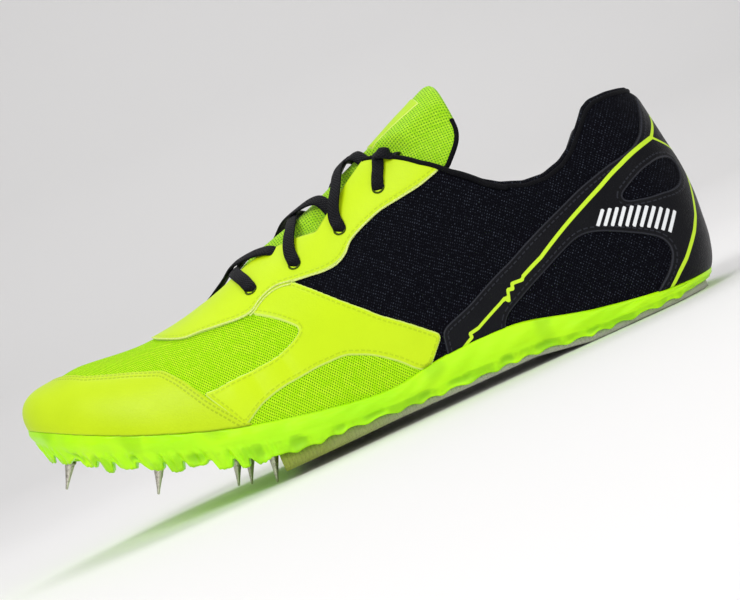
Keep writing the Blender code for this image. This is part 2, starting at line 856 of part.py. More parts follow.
def stand_on_floor():
    """Moves the whole shoe so that the middle of its footprint is the origin."""
    bpy.context.view_layer.update()
    corners = [
        made.matrix_world @ Vector(corner) for made in COLLECTION.objects for corner in made.bound_box
    ]
    low = [min(corner[axis] for corner in corners) for axis in range(3)]
    high = [max(corner[axis] for corner in corners) for axis in range(3)]
    root = bpy.data.objects.new("shoe", None)
    COLLECTION.objects.link(root)
    root.location = (-(low[0] + high[0]) / 2, -(low[1] + high[1]) / 2, -low[2])
    for made in COLLECTION.objects:
        if made is not root:
            made.parent = root
    bpy.context.view_layer.update()


COLLECTION = bpy.data.collections.new("track spike")


def clear_scene():
    """Removes what the empty scene holds."""
    for item in list(bpy.data.objects):
        bpy.data.objects.remove(item, do_unlink=True)


FINISHES = {
    "upper": ((0.35, 0.78, 0.02), 0.0, 0.85),
    "toe_cap": ((0.57, 0.74, 0.01), 0.0, 0.45),
    "eyestay": ((0.65, 0.90, 0.02), 0.0, 0.45),
    "forefoot_wing_lateral": ((0.65, 0.90, 0.02), 0.0, 0.45),
    "forefoot_wing_medial": ((0.65, 0.90, 0.02), 0.0, 0.45),
    "heel_cage": ((0.015, 0.016, 0.022), 0.0, 0.50),
    "sole": ((0.48, 1.00, 0.00), 0.0, 0.35),
    "outsole": ((0.35, 0.36, 0.30), 0.0, 0.70),
    "insole": ((0.02, 0.02, 0.02), 0.0, 0.90),
    "tongue": ((0.38, 0.80, 0.02), 0.0, 0.90),
    "laces": ((0.004, 0.004, 0.004), 0.0, 0.80),
}
PIN_FINISH = ((0.55, 0.54, 0.52), 1.0, 0.30)


def main():
    """Builds the shoe."""
    clear_scene()
    bpy.context.scene.collection.children.link(COLLECTION)
    make_upper()
    make_sole()
    make_outsole()
    make_insole()
    make_overlay("toe_cap", TOE_CAP, 5, 30)
    make_overlay("eyestay", EYESTAY, 6, 26)
    make_overlay("forefoot_wing_lateral", WING, 6, 26, (LATERAL,))
    make_overlay("forefoot_wing_medial", WING, 6, 26, (MEDIAL,))
    make_overlay("heel_cage", HEEL_CAGE, 6, 26)
    make_tongue()
    make_laces()
    make_pins()
    for made in COLLECTION.objects:
        paint(made, *FINISHES.get(made.name, PIN_FINISH))
    stand_on_floor()


main()
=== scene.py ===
"""Looks of the track spike shoe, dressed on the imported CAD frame.

Every fabric and sheet is laid on the same last as the CAD part. A place on the last is its share of
the length, 0 at the toe tip and 1 at the back of the heel, and how far across it lies, 0 on the
crest and 1 on the feather line. Sizes are metres in the frame of the CAD.
"""

import logging
import math
from contextlib import contextmanager
from dataclasses import dataclass, field
from enum import Enum
from typing import Callable, Iterator, Sequence

import bmesh
import bpy
import numpy as np
from mathutils import Matrix, Vector

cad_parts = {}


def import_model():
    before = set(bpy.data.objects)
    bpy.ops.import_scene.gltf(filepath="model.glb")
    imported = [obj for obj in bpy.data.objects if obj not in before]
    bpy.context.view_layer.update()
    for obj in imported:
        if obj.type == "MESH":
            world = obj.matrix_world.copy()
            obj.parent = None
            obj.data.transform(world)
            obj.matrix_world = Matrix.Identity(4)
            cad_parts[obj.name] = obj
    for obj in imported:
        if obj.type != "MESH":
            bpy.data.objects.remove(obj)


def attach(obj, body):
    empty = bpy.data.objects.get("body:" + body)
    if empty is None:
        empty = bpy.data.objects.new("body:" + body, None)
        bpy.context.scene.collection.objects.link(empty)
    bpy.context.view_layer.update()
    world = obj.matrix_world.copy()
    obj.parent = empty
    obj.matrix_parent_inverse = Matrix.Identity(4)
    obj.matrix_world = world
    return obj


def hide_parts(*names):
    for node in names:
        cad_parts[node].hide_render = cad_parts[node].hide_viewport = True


LOG = logging.getLogger("track_spike")
Colour = tuple[float, float, float]
Path = Sequence[tuple[float, float]]
Rows = Sequence[tuple[float, float, float]]
Face = tuple[int, ...]
Array = np.ndarray
Piece = bpy.types.Object

MILLIMETRES = 1000.0


class Side(Enum):
    """The two sides of the shoe."""

    LATERAL = -1
    MEDIAL = 1


def ease(value: Array | float) -> Array | float:
    """Returns a soft step from 0 to 1 while the value goes from 0 to 1."""
    value = np.clip(value, 0.0, 1.0)
    return value * value * (3 - 2 * value)


def linear(*colour: int) -> Colour:
    """Returns the linear colour of a display colour given as 0 to 255."""
    shares = [value / 255 for value in colour]
    return tuple(v / 12.92 if v <= 0.04045 else ((v + 0.055) / 1.055) ** 2.4 for v in shares)


def both(share: Array, across: Array) -> tuple[Array, Array]:
    """Returns shares and places across as arrays of one shape."""
    return np.broadcast_arrays(np.asarray(share, float), np.asarray(across, float))


def unit(ways: Array) -> Array:
    """Returns directions at length 1."""
    return ways / np.linalg.norm(ways, axis=-1, keepdims=True)


def run_of(points: Array) -> Array:
    """Returns the length run along a line at each of its points."""
    return np.concatenate([[0.0], np.cumsum(np.linalg.norm(np.diff(points, axis=0), axis=1))])


# ---- the last


@dataclass(frozen=True)
class Column:
    """A smooth curve through the rows of one column of a table."""

    places: Array
    values: Array
    tangents: Array

    @classmethod
    def through(cls, places: Sequence[float], values: Sequence[float]) -> "Column":
        """Makes the curve with the tangents of the neighbouring slopes.

        Args:
            places: where the rows lie.
            values: the value of each row.

        Returns:
            The curve.
        """
        at, of = np.array(places, float), np.array(values, float)
        steps = np.diff(at)
        slopes = np.diff(of) / steps
        tangents = np.empty(len(at))
        tangents[0], tangents[-1] = slopes[0], slopes[-1]
        before, after = slopes[:-1] * steps[1:], slopes[1:] * steps[:-1]
        tangents[1:-1] = (before + after) / (steps[1:] + steps[:-1])
        return cls(at, of, tangents)

    def __call__(self, place: Array) -> Array:
        """Returns the values at places."""
        place = np.clip(place, self.places[0], self.places[-1])
        i = np.clip(np.searchsorted(self.places, place) - 1, 0, len(self.places) - 2)
        step = self.places[i + 1] - self.places[i]
        t = (place - self.places[i]) / step
        return (
            self.values[i] * (1 + 2 * t) * (1 - t) ** 2
            + self.tangents[i] * step * t * (1 - t) ** 2
            + self.values[i + 1] * t * t * (3 - 2 * t)
            + self.tangents[i + 1] * step * t * t * (t - 1)
        )


@dataclass(frozen=True)
class Last:
    """The form that the upper, its overlays, the tongue and the sole's cup lie on."""

    length: float = 0.2782
    full_length: float = 0.285
    ball_width: float = 0.087
    height: float = 0.092
    toe_spring: float = 0.048
    heel_stack: float = 0.005
    tip_height: float = 0.008
    tuck: float = 0.0022
    tuck_height: float = 0.01
    crest_round: float = 0.1
    toe_round: float = 0.19
    heel_round: float = 0.108
    lean_start: float = 0.6
    root: tuple[float, float, float] = (-0.00001, -0.00067, 0.0)
    shares: tuple[float, ...] = (0.0, 0.05, 0.1, 0.2, 0.3, 0.4, 0.5, 0.6, 0.7, 0.8, 0.9, 1.0)
    columns: dict[str, Column] = field(default_factory=dict)

    def __post_init__(self) -> None:
        """Makes the curves of the table of sections."""
        names = ("spring", "ridge", "half", "centre", "crest", "fullness")
        sections = (
            (1.0, 0.266, 0.43, 0.103, 0.103, 2.4),
            (0.852, 0.283, 0.437, 0.098, 0.101, 2.35),
            (0.713, 0.344, 0.448, 0.08, 0.092, 2.25),
            (0.483, 0.439, 0.477, 0.04, 0.08, 2.15),
            (0.298, 0.58, 0.5, 0.0, 0.058, 2.0),
            (0.185, 0.75, 0.466, -0.034, 0.046, 1.9),
            (0.125, 0.867, 0.402, -0.052, 0.023, 1.95),
            (0.115, 0.995, 0.362, -0.046, 0.0, 2.05),
            (0.098, 1.127, 0.345, -0.029, -0.011, 2.3),
            (0.023, 1.217, 0.345, -0.012, -0.011, 2.6),
            (0.0, 1.228, 0.339, 0.0, 0.0, 2.8),
            (0.0, 1.207, 0.339, 0.0, 0.0, 2.8),
        )
        for name, values in zip(names, zip(*sections)):
            self.columns[name] = Column.through(self.shares, values)
        heights = (0.05, 0.1, 0.18, 0.3, 0.42, 0.53, 0.66, 0.78, 0.92, 1.2)
        leans = (-0.028, -0.0165, -0.0075, -0.0025, 0.0, -0.0018, -0.0105, -0.018, -0.0245, -0.04)
        self.columns["lean"] = Column.through(heights, leans)

    @staticmethod
    def rounded(share: Array, radius: float) -> Array:
        """Returns the height of a quarter circle, 1 from one radius on."""
        t = np.clip(share / radius, 0.0, 1.0)
        return np.sqrt(np.maximum(0.0, 1 - (1 - t) ** 2))

    def bed(self, share: Array) -> Array:
        """Returns the height of the last's underside above the floor."""
        return self.heel_stack + self.toe_spring * self.columns["spring"](share)

    def rise(self, share: Array) -> Array:
        """Returns the height of the crest above the underside."""
        full = self.height * self.columns["ridge"](share)
        return self.tip_height + (full - self.tip_height) * self.rounded(share, self.crest_round)

    def point(self, share: Array, across: Array) -> Array:
        """Returns the points on the last at places, one row each.

        Args:
            share: shares of the length.
            across: how far across, negative on the lateral side.

        Returns:
            An array of three columns.
        """
        share, across = both(share, across)
        side = np.where(across < 0, -1.0, 1.0)
        turn = np.minimum(np.abs(across), 1.0) * math.pi / 2
        power = self.columns["fullness"](share)
        out, up = np.sin(turn), np.cos(turn)
        norm = (out**power + up**power) ** (1 / power)
        rise = self.rise(share) * up / norm
        plan = self.rounded(share, self.toe_round) * self.rounded(1 - share, self.heel_round)
        half = self.ball_width * self.columns["half"](share) * plan
        centre = self.ball_width * self.columns["centre"](share)
        crest = self.ball_width * self.columns["crest"](share)
        ends = (share < self.toe_round) | (share > 1 - self.heel_round)
        crest = np.where(ends, centre + (crest - centre) * plan, crest)
        pull = self.tuck * np.maximum(0.0, 1 - rise / self.tuck_height) ** 2
        edge = centre + side * (half - pull * plan)
        y = crest + (edge - crest) * out / norm
        z = self.bed(share) + rise
        x = (share - 0.5) * self.length
        x = x + pull * np.maximum(0.0, 1 - share / self.crest_round) ** 2
        reach = (np.maximum(share - self.lean_start, 0.0) / (1 - self.lean_start)) ** 2
        x = x + self.full_length * reach * self.columns["lean"](z / self.height)
        return np.stack([x, y, z], axis=-1)

    def along_of(self, share: Array) -> Array:
        """Returns the even measure along the last that is fine at both ends."""
        return np.arccos(np.clip(1 - 2 * np.asarray(share, float), -1, 1)) / math.pi

    def share_of(self, along: Array) -> Array:
        """Returns the share of the length at an even measure."""
        return (1 - np.cos(math.pi * np.clip(along, 0.0, 1.0))) / 2

    def slope(self, share: Array, across: Array) -> Array:
        """Returns outward directions from the slopes along and across the last."""
        along = np.clip(self.along_of(share), 0.006, 0.994)
        low, high = np.maximum(across - 0.01, -1.0), np.minimum(across + 0.01, 1.0)
        here = self.share_of(along)
        ahead, behind = self.share_of(along + 0.002), self.share_of(along - 0.002)
        by_along = self.point(ahead, across) - self.point(behind, across)
        by_across = self.point(here, high) - self.point(here, low)
        return unit(np.cross(by_along, by_across))

    def normal(self, share: Array, across: Array) -> Array:
        """Returns the outward directions, shared by the two sides at the toe tip and the heel."""
        share, across = both(share, across)
        normal = self.slope(share, across)
        tip = (share < 1e-9) | (share > 1 - 1e-9)
        mean = normal + self.slope(share, -across)
        mean[..., 1] = 0.0
        normal = np.where(tip[..., None], mean, normal)
        low = np.abs(across) > 0.999
        normal[..., 2] = np.where(low, 0.0, normal[..., 2])
        return unit(normal)

    def skin(self, share: Array, across: Array, offset: Array | float) -> Array:
        """Returns points at a distance outside the last.

        Args:
            share: shares of the length.
            across: how far across, negative on the lateral side.
            offset: distance outside the last, negative inside it.

        Returns:
            An array of three columns, in the frame of the CAD.
        """
        offset = np.asarray(offset, float)
        point = self.point(share, across) + self.normal(share, across) * offset[..., None]
        return point + np.array(self.root)

    def wall(self, share: Array, across: Array, offset: Array, tilt: float) -> Array:
        """Returns points as skin does, on directions turned level; tilt 1 leaves them as is."""
        normal = self.normal(share, across)
        normal[..., 2] *= tilt
        raised = unit(normal) * np.asarray(offset)[..., None]
        return self.point(share, across) + raised + np.array(self.root)

    def across_at(self, share: Array, rise: Array) -> Array:
        """Returns how far across the section lies at a height above the underside."""
        q = np.clip(rise / self.rise(share), 0.0, 1.0)
        power = self.columns["fullness"](share)
        return np.arctan2((1 - q**power) ** (1 / power), q) * 2 / math.pi


LAST = Last()


class Chart:
    """Lays the last out flat: along is arc length from the toe, down is girth from the crest."""

    HEIGHT = 0.0024
    MIDDLE = 110
    BEYOND = (0.28, 0.1)

    def __init__(self, last: Last) -> None:
        """Measures the last once on a fine grid."""
        self.shares = last.share_of(np.linspace(0, 1, 321))
        self.acrosses = np.linspace(0, 1, 161)
        share, across = np.meshgrid(self.shares, self.acrosses, indexing="ij")
        grid = last.skin(share, -across, self.HEIGHT)
        self.along = run_of(grid[:, self.MIDDLE])
        steps = np.linalg.norm(np.diff(grid, axis=1), axis=2)
        none = np.zeros((len(self.shares), 1))
        self.down = np.concatenate([none, np.cumsum(steps, axis=1)], axis=1)

    def place(self, share: Array, across: Array) -> Array:
        """Returns the flat places; beyond the ends they run on at the same rate.

        Args:
            share: shares of the length; they may lie outside 0 to 1.
            across: how far across, of either sign.

        Returns:
            An array of two columns, along and down, in metres; down keeps the sign of across.
        """
        share, across = both(share, across)
        inside = np.clip(share, 0.0, 1.0)
        along = np.interp(inside, self.shares, self.along) + (share - inside) * self.BEYOND[0]
        i = np.clip(np.searchsorted(self.shares, inside) - 1, 0, len(self.shares) - 2)
        t = (inside - self.shares[i]) / (self.shares[i + 1] - self.shares[i])
        out = np.abs(across)
        cell = np.clip(out, 0, 1) * (len(self.acrosses) - 1)
        k = np.clip(cell.astype(int), 0, len(self.acrosses) - 2)
        s = cell - k
        low = self.down[i, k] * (1 - s) + self.down[i, k + 1] * s
        high = self.down[i + 1, k] * (1 - s) + self.down[i + 1, k + 1] * s
        down = low * (1 - t) + high * t + (out - np.clip(out, 0, 1)) * self.BEYOND[1]
        return np.stack([along, down * np.where(across < 0, -1.0, 1.0)], axis=-1)


CHART = Chart(LAST)


class Outline:
    """A line or a closed outline on the flat chart, with distances to it."""

    def __init__(self, places: Path, closed: bool = True, fine: float = 0.0008) -> None:
        """Lays the places out flat and rounds the line between them a little."""
        flat = CHART.place(*np.array(places, float).T)
        if closed:
            flat = np.vstack([flat, flat[:1]])
        rows = []
        for a, b in zip(flat, flat[1:]):
            count = max(1, int(np.linalg.norm(b - a) / fine))
            rows.append(a + (b - a) * (np.arange(count) / count)[:, None])
        rows.append(flat[-1:])
        self.line = np.vstack(rows)
        if closed:
            self.soften(3)
        self.run = run_of(self.line)

    def soften(self, reach: int) -> None:
        """Softens the corners of a closed outline over a few fine steps."""
        kernel = np.ones(2 * reach + 1) / (2 * reach + 1)
        core = self.line[:-1]
        ring = np.vstack([core[-reach:], core, core[:reach]])
        smooth = np.stack([np.convolve(ring[:, k], kernel, "valid") for k in (0, 1)], axis=1)
        self.line = np.vstack([smooth, smooth[:1]])

    def distance(self, flat: Array) -> tuple[Array, Array]:
        """Returns the distance to the line and the run along it at the nearest place.

        Args:
            flat: flat places, one row each.

        Returns:
            Distances and runs, in metres.
        """
        best = np.full(len(flat), 1e9)
        run = np.zeros(len(flat))
        starts, ends = self.line[:-1], self.line[1:]
        for i in range(0, len(flat), 4000):
            part = flat[i : i + 4000]
            beside, below = (part[:, None, k] - starts[None, :, k] for k in (0, 1))
            near = np.argmin(beside**2 + below**2, axis=1)
            for shift in (-1, 0):
                k = np.clip(near + shift, 0, len(starts) - 1)
                a, b = starts[k], ends[k]
                span = b - a
                length = np.maximum((span**2).sum(1), 1e-18)
                t = np.clip(((part - a) * span).sum(1) / length, 0, 1)
                gap = np.linalg.norm(part - (a + span * t[:, None]), axis=1)
                closer = gap < best[i : i + 4000]
                best[i : i + 4000] = np.where(closer, gap, best[i : i + 4000])
                here = self.run[k] + t * np.sqrt(length)
                run[i : i + 4000] = np.where(closer, here, run[i : i + 4000])
        return best, run

    def signed(self, flat: Array) -> tuple[Array, Array]:
        """Returns the distance, positive inside the outline, and the run along it."""
        gap, run = self.distance(flat)
        inside = np.zeros(len(flat), bool)
        x, y = flat[:, 0], flat[:, 1]
        for (xa, ya), (xb, yb) in zip(self.line[:-1], self.line[1:]):
            crosses = (ya > y) != (yb > y)
            if crosses.any():
                at = xa + (y - ya) / (yb - ya if yb != ya else 1e-12) * (xb - xa)
                inside ^= crosses & (x < at)
        return np.where(inside, gap, -gap), run


# ---- meshes


def lift_mesh(name: str, points: Array, faces: Sequence[Sequence[int]]) -> Piece:
    """Makes an object of points and faces, shaded smooth.

    Args:
        name: the name of the piece.
        points: one row of three values a point.
        faces: the corners of each face.

    Returns:
        The object, at the origin.
    """
    mesh = bpy.data.meshes.new(name)
    mesh.from_pydata([tuple(p) for p in points], [], [tuple(int(i) for i in f) for f in faces])
    mesh.validate()
    made = bpy.data.objects.new(name, mesh)
    bpy.context.scene.collection.objects.link(made)
    mesh.shade_smooth()
    return made


def write_values(made: Piece, name: str, values: Array) -> None:
    """Writes one number a point to an attribute of a piece."""
    data = made.data.attributes.new(name, "FLOAT", "POINT")
    data.data.foreach_set("value", np.asarray(values, np.float32))


def write_map(made: Piece, flat: Array) -> None:
    """Writes the flat places, in decimetres, to the piece's UV map."""
    layer = made.data.uv_layers.new(name="Flat")
    corners = np.zeros(len(made.data.loops), np.int32)
    made.data.loops.foreach_get("vertex_index", corners)
    layer.data.foreach_set("uv", (flat[corners] * 10).astype(np.float32).ravel())


@contextmanager
def editing(made: Piece) -> Iterator[bmesh.types.BMesh]:
    """Opens a piece's mesh for an edit, then writes it back, shaded smooth."""
    bm = bmesh.new()
    bm.from_mesh(made.data)
    yield bm
    bm.to_mesh(made.data)
    bm.free()
    made.data.shade_smooth()


def weld(made: Piece, reach: float = 2e-6) -> None:
    """Merges points that lie on each other."""
    with editing(made) as bm:
        bmesh.ops.remove_doubles(bm, verts=bm.verts, dist=reach)
        bmesh.ops.dissolve_degenerate(bm, edges=bm.edges, dist=1e-8)


def close_ends(made: Piece) -> None:
    """Fills the open ends of a piece with one face each."""
    with editing(made) as bm:
        bmesh.ops.holes_fill(bm, edges=[e for e in bm.edges if e.is_boundary], sides=0)


def face_outwards(made: Piece) -> None:
    """Turns the faces of a closed piece outwards."""
    with editing(made) as bm:
        bmesh.ops.recalc_face_normals(bm, faces=bm.faces)
        if bm.calc_volume(signed=True) < 0:
            bmesh.ops.reverse_faces(bm, faces=bm.faces)


def quads(
    total: int, wide: int, ring: bool = False, base: int = 0, flip: bool = False
) -> list[Face]:
    """Returns the faces of a grid of points.

    Args:
        total: rows of the grid.
        wide: points of each row.
        ring: whether each row closes on itself; the faces then run the other way round.
        base: the number of the first point.
        flip: whether the faces are turned over.

    Returns:
        One face of four corners a cell.
    """
    faces = []
    for j in range(total - 1):
        for i in range(wide if ring else wide - 1):
            k = (i + 1) % wide
            a, b, c, d = (base + r * wide + q for r, q in ((j, i), (j + 1, i), (j + 1, k), (j, k)))
            quad = (a, d, c, b) if ring else (a, b, c, d)
            faces.append(quad[::-1] if flip else quad)
    return faces


def clip_faces(
    grid: Array, values: Array, places: Array
) -> tuple[Array, Array, list[Face]]:
    """Keeps the part of a grid of faces where the value is positive, cut along the zero line.

    Args:
        grid: indices of the points, rows by columns.
        values: the value of each point.
        places: two columns, the place of each point on the last.

    Returns:
        The places and values of the points that are kept or new on the cut, and the faces.
    """
    cells = np.stack([grid[:-1, :-1], grid[1:, :-1], grid[1:, 1:], grid[:-1, 1:]], axis=-1)
    cells = cells.reshape(-1, 4)
    inside = values > 0
    count = inside[cells].sum(1)
    faces: list[Face] = [tuple(cell) for cell in cells[count == 4]]
    new_places, new_values = [], []
    cuts: dict[tuple[int, int], int] = {}

    def cut(a: int, b: int) -> int:
        key = (min(a, b), max(a, b))
        if key not in cuts:
            t = values[a] / (values[a] - values[b])
            cuts[key] = len(values) + len(new_values)
            new_places.append(places[a] + (places[b] - places[a]) * t)
            new_values.append(0.0)
        return cuts[key]

    for quad in cells[(count > 0) & (count < 4)]:
        for corners in ((quad[0], quad[1], quad[2]), (quad[0], quad[2], quad[3])):
            loop: list[int] = []
            for a, b in zip(corners, corners[1:] + corners[:1]):
                if inside[a]:
                    loop.append(int(a))
                if inside[a] != inside[b]:
                    loop.append(cut(int(a), int(b)))
            if len(loop) > 2:
                faces.append(tuple(loop))
    if new_places:
        places = np.vstack([places, np.array(new_places)])
        values = np.concatenate([values, np.array(new_values)])
    used = np.unique(np.concatenate([np.array(f) for f in faces]))
    order = np.full(len(values), -1)
    order[used] = np.arange(len(used))
    return places[used], values[used], [tuple(int(order[i]) for i in f) for f in faces]


@dataclass
class Patch:
    """A sheet that is laid on the last inside an outline, with holes."""

    name: str
    outline: Outline
    holes: Sequence[Outline] = ()
    first: float = 0.0
    last: float = 1.0
    low: float = 0.0
    high: float = 1.0
    step: float = 0.0006
    sides: Sequence[Side] = (Side.LATERAL, Side.MEDIAL)
    base: float = 0.0024
    thickness: float = 0.0009
    roll: float = 0.0008
    limit: Callable[[Array, Array], Array] | None = None

    def grid(self) -> tuple[list[Array], Array]:
        """Returns the indices of the points of each plain grid, and all their places."""
        start, end = LAST.along_of(self.first), LAST.along_of(self.last)
        length = CHART.place(self.last, 0.7)[0] - CHART.place(self.first, 0.7)[0]
        rows = max(8, int(length / self.step))
        shares = LAST.share_of(np.linspace(start, end, rows + 1))
        if self.first == 0.0:
            shares[0] = 0.0
        if self.last == 1.0:
            shares[-1] = 1.0
        middle = (self.first + self.last) / 2
        girth = CHART.place(middle, self.high)[1] - CHART.place(middle, self.low)[1]
        count = max(6, int(girth / self.step))
        half = np.linspace(self.low, self.high, count + 1)
        if len(self.sides) == 2 and self.low == 0.0:
            acrosses = [np.concatenate([-half[::-1], half[1:]])]
        else:
            acrosses = [half * side.value for side in self.sides]
        places, grids, base = [], [], 0
        for across in acrosses:
            s, a = np.meshgrid(shares, across, indexing="ij")
            grids.append(np.arange(s.size).reshape(s.shape) + base)
            places.append(np.stack([s.ravel(), a.ravel()], axis=1))
            base += s.size
        return grids, np.vstack(places)

    def depth(self, places: Array) -> tuple[Array, Array, Array]:
        """Returns how far inside the sewn edge and inside the limit places lie, and the run."""
        flat = CHART.place(places[:, 0], np.abs(places[:, 1]))
        best, run = self.outline.signed(flat)
        for hole in self.holes:
            value, along = hole.signed(flat)
            run = np.where(-value < best, along, run)
            best = np.minimum(best, -value)
        foot = np.ones(len(flat))
        if self.limit is not None:
            foot = self.limit(places[:, 0], places[:, 1])
        return best, foot, run

    def build(self) -> Piece:
        """Builds the piece with a rounded edge that rolls down to the fabric under it.

        Returns:
            The piece, with the attributes edge, foot and run and its UV map.
        """
        grids, places = self.grid()
        sewn, foot, _ = self.depth(places)
        depth = np.minimum(sewn, foot)
        all_faces: list[Face] = []
        kept_places, kept_depth, base = [], [], 0
        for grid in grids:
            at, value, faces = clip_faces(grid, depth, places)
            all_faces += [tuple(i + base for i in f) for f in faces]
            kept_places.append(at)
            kept_depth.append(value)
            base += len(at)
        at, value = np.vstack(kept_places), np.concatenate(kept_depth)
        sewn, foot, run = self.depth(at)
        t = np.clip(value / self.roll, 0, 1)
        offset = self.base + self.thickness * np.sqrt(np.maximum(0.0, 1 - (1 - t) ** 2))
        offset = offset - 0.0003 * (value < 1e-5) + swell(at[:, 0], at[:, 1])
        points = LAST.skin(at[:, 0], at[:, 1], offset)
        made = lift_mesh(self.name, points, all_faces)
        for name, values in (("edge", sewn), ("foot", foot), ("run", run)):
            write_values(made, name, values)
        write_map(made, CHART.place(at[:, 0], at[:, 1]))
        weld(made)
        return made


def tube_on_skin(path: Path, radius: float, offset: float, side: Side, flat: float = 1.0) -> Piece:
    """Lays a cord of piping or edge binding along a path on the last.

    Args:
        path: places on the last, from one end to the other.
        radius: half the cord's width.
        offset: height of its middle outside the last.
        side: the side that it lies on.
        flat: its height as a share of its width.

    Returns:
        The cord, with closed ends.
    """
    line = smooth_places(path, 0.001)
    share, across = line[:, 0], side.value * line[:, 1]
    points = LAST.skin(share, across, offset + swell(share, across))
    return sweep(points, LAST.normal(share, across), radius, radius * flat, 10)


def smooth_places(path: Path, step: float) -> Array:
    """Returns places about a step apart on a smooth curve through the path's own."""
    rows = np.array(path, float)
    flat = CHART.place(rows[:, 0], rows[:, 1])
    run = run_of(flat) + np.arange(len(flat)) * 1e-7
    count = max(4, int(run[-1] / step))
    at = np.linspace(0, run[-1], count + 1)
    columns = [Column.through(run, rows[:, k])(at) for k in range(rows.shape[1])]
    return np.stack(columns, axis=1)


def sweep(
    points: Array, normals: Array, wide: float, thick: float, count: int, power: float = 2.0
) -> Piece:
    """Sweeps an oval section along points, its flat side facing along the normals.

    Args:
        points: the middle line.
        normals: the outward direction at each point.
        wide: half the section's width.
        thick: half its thickness.
        count: corners of the section.
        power: 2 for an ellipse, more for a squarer section.

    Returns:
        The swept piece, with the attributes run and turn.
    """
    ahead = unit(np.gradient(points, axis=0))
    across = unit(np.cross(ahead, normals))
    up = np.cross(across, ahead)
    angles = np.arange(count) * 2 * math.pi / count
    c, s = np.cos(angles), np.sin(angles)
    x = np.sign(c) * np.abs(c) ** (2 / power) * wide
    y = np.sign(s) * np.abs(s) ** (2 / power) * thick
    rings = points[:, None] + across[:, None] * x[None, :, None] + up[:, None] * y[None, :, None]
    total = len(points)
    faces = quads(total, count, ring=True)
    bulge = thick * 0.6
    ends = np.vstack([points[:1] - ahead[:1] * bulge, points[-1:] + ahead[-1:] * bulge])
    for k in range(count):
        n = (k + 1) % count
        faces.append((total * count, n, k))
        faces.append((total * count + 1, (total - 1) * count + k, (total - 1) * count + n))
    made = lift_mesh("sweep", np.vstack([rings.reshape(-1, 3), ends]), faces)
    run = run_of(points)
    write_values(made, "run", np.concatenate([np.repeat(run, count), [0.0, run[-1]]]))
    write_values(made, "turn", np.concatenate([np.tile(x, total), [0.0, 0.0]]))
    face_outwards(made)
    return made


def join(name: str, pieces: Sequence[Piece]) -> Piece:
    """Joins pieces into the first one and names it."""
    bpy.ops.object.select_all(action="DESELECT")
    for piece in pieces:
        piece.select_set(True)
    bpy.context.view_layer.objects.active = pieces[0]
    if len(pieces) > 1:
        bpy.ops.object.join()
    pieces[0].name = name
    pieces[0].data.name = name
    pieces[0].select_set(False)
    return pieces[0]


# ---- materials


def maths(kind: str, turned: bool = False) -> Callable[..., "Value"]:
    """Returns a method of a value that adds one Math node.

    Args:
        kind: the operation.
        turned: whether the value itself comes last.

    Returns:
        The method.
    """

    def method(self: "Value", *others: "Value | float") -> "Value":
        return self.shader.maths(kind, *((*others, self) if turned else (self, *others)))

    return method


class Value:
    """A number in a shader; expressions on it add the Math nodes."""

    __add__ = __radd__ = maths("ADD")
    __mul__ = __rmul__ = maths("MULTIPLY")
    __sub__ = maths("SUBTRACT")
    __rsub__ = maths("SUBTRACT", turned=True)
    __truediv__ = maths("DIVIDE")
    sin, cos, abs = maths("SINE"), maths("COSINE"), maths("ABSOLUTE")
    fraction, most = maths("FRACT"), maths("MAXIMUM")

    def __init__(self, shader: "Shader", socket: bpy.types.NodeSocket) -> None:
        """Wraps a socket of a node."""
        self.shader, self.socket = shader, socket

    def step(self, start: float, end: float) -> "Value":
        """Returns a soft step from 0 at start to 1 at end."""
        return self.shader.node(
            "ShaderNodeMapRange",
            {"interpolation_type": "SMOOTHSTEP"},
            {"Value": self, "From Min": start, "From Max": end, "To Min": 0.0, "To Max": 1.0},
            "Result",
        )


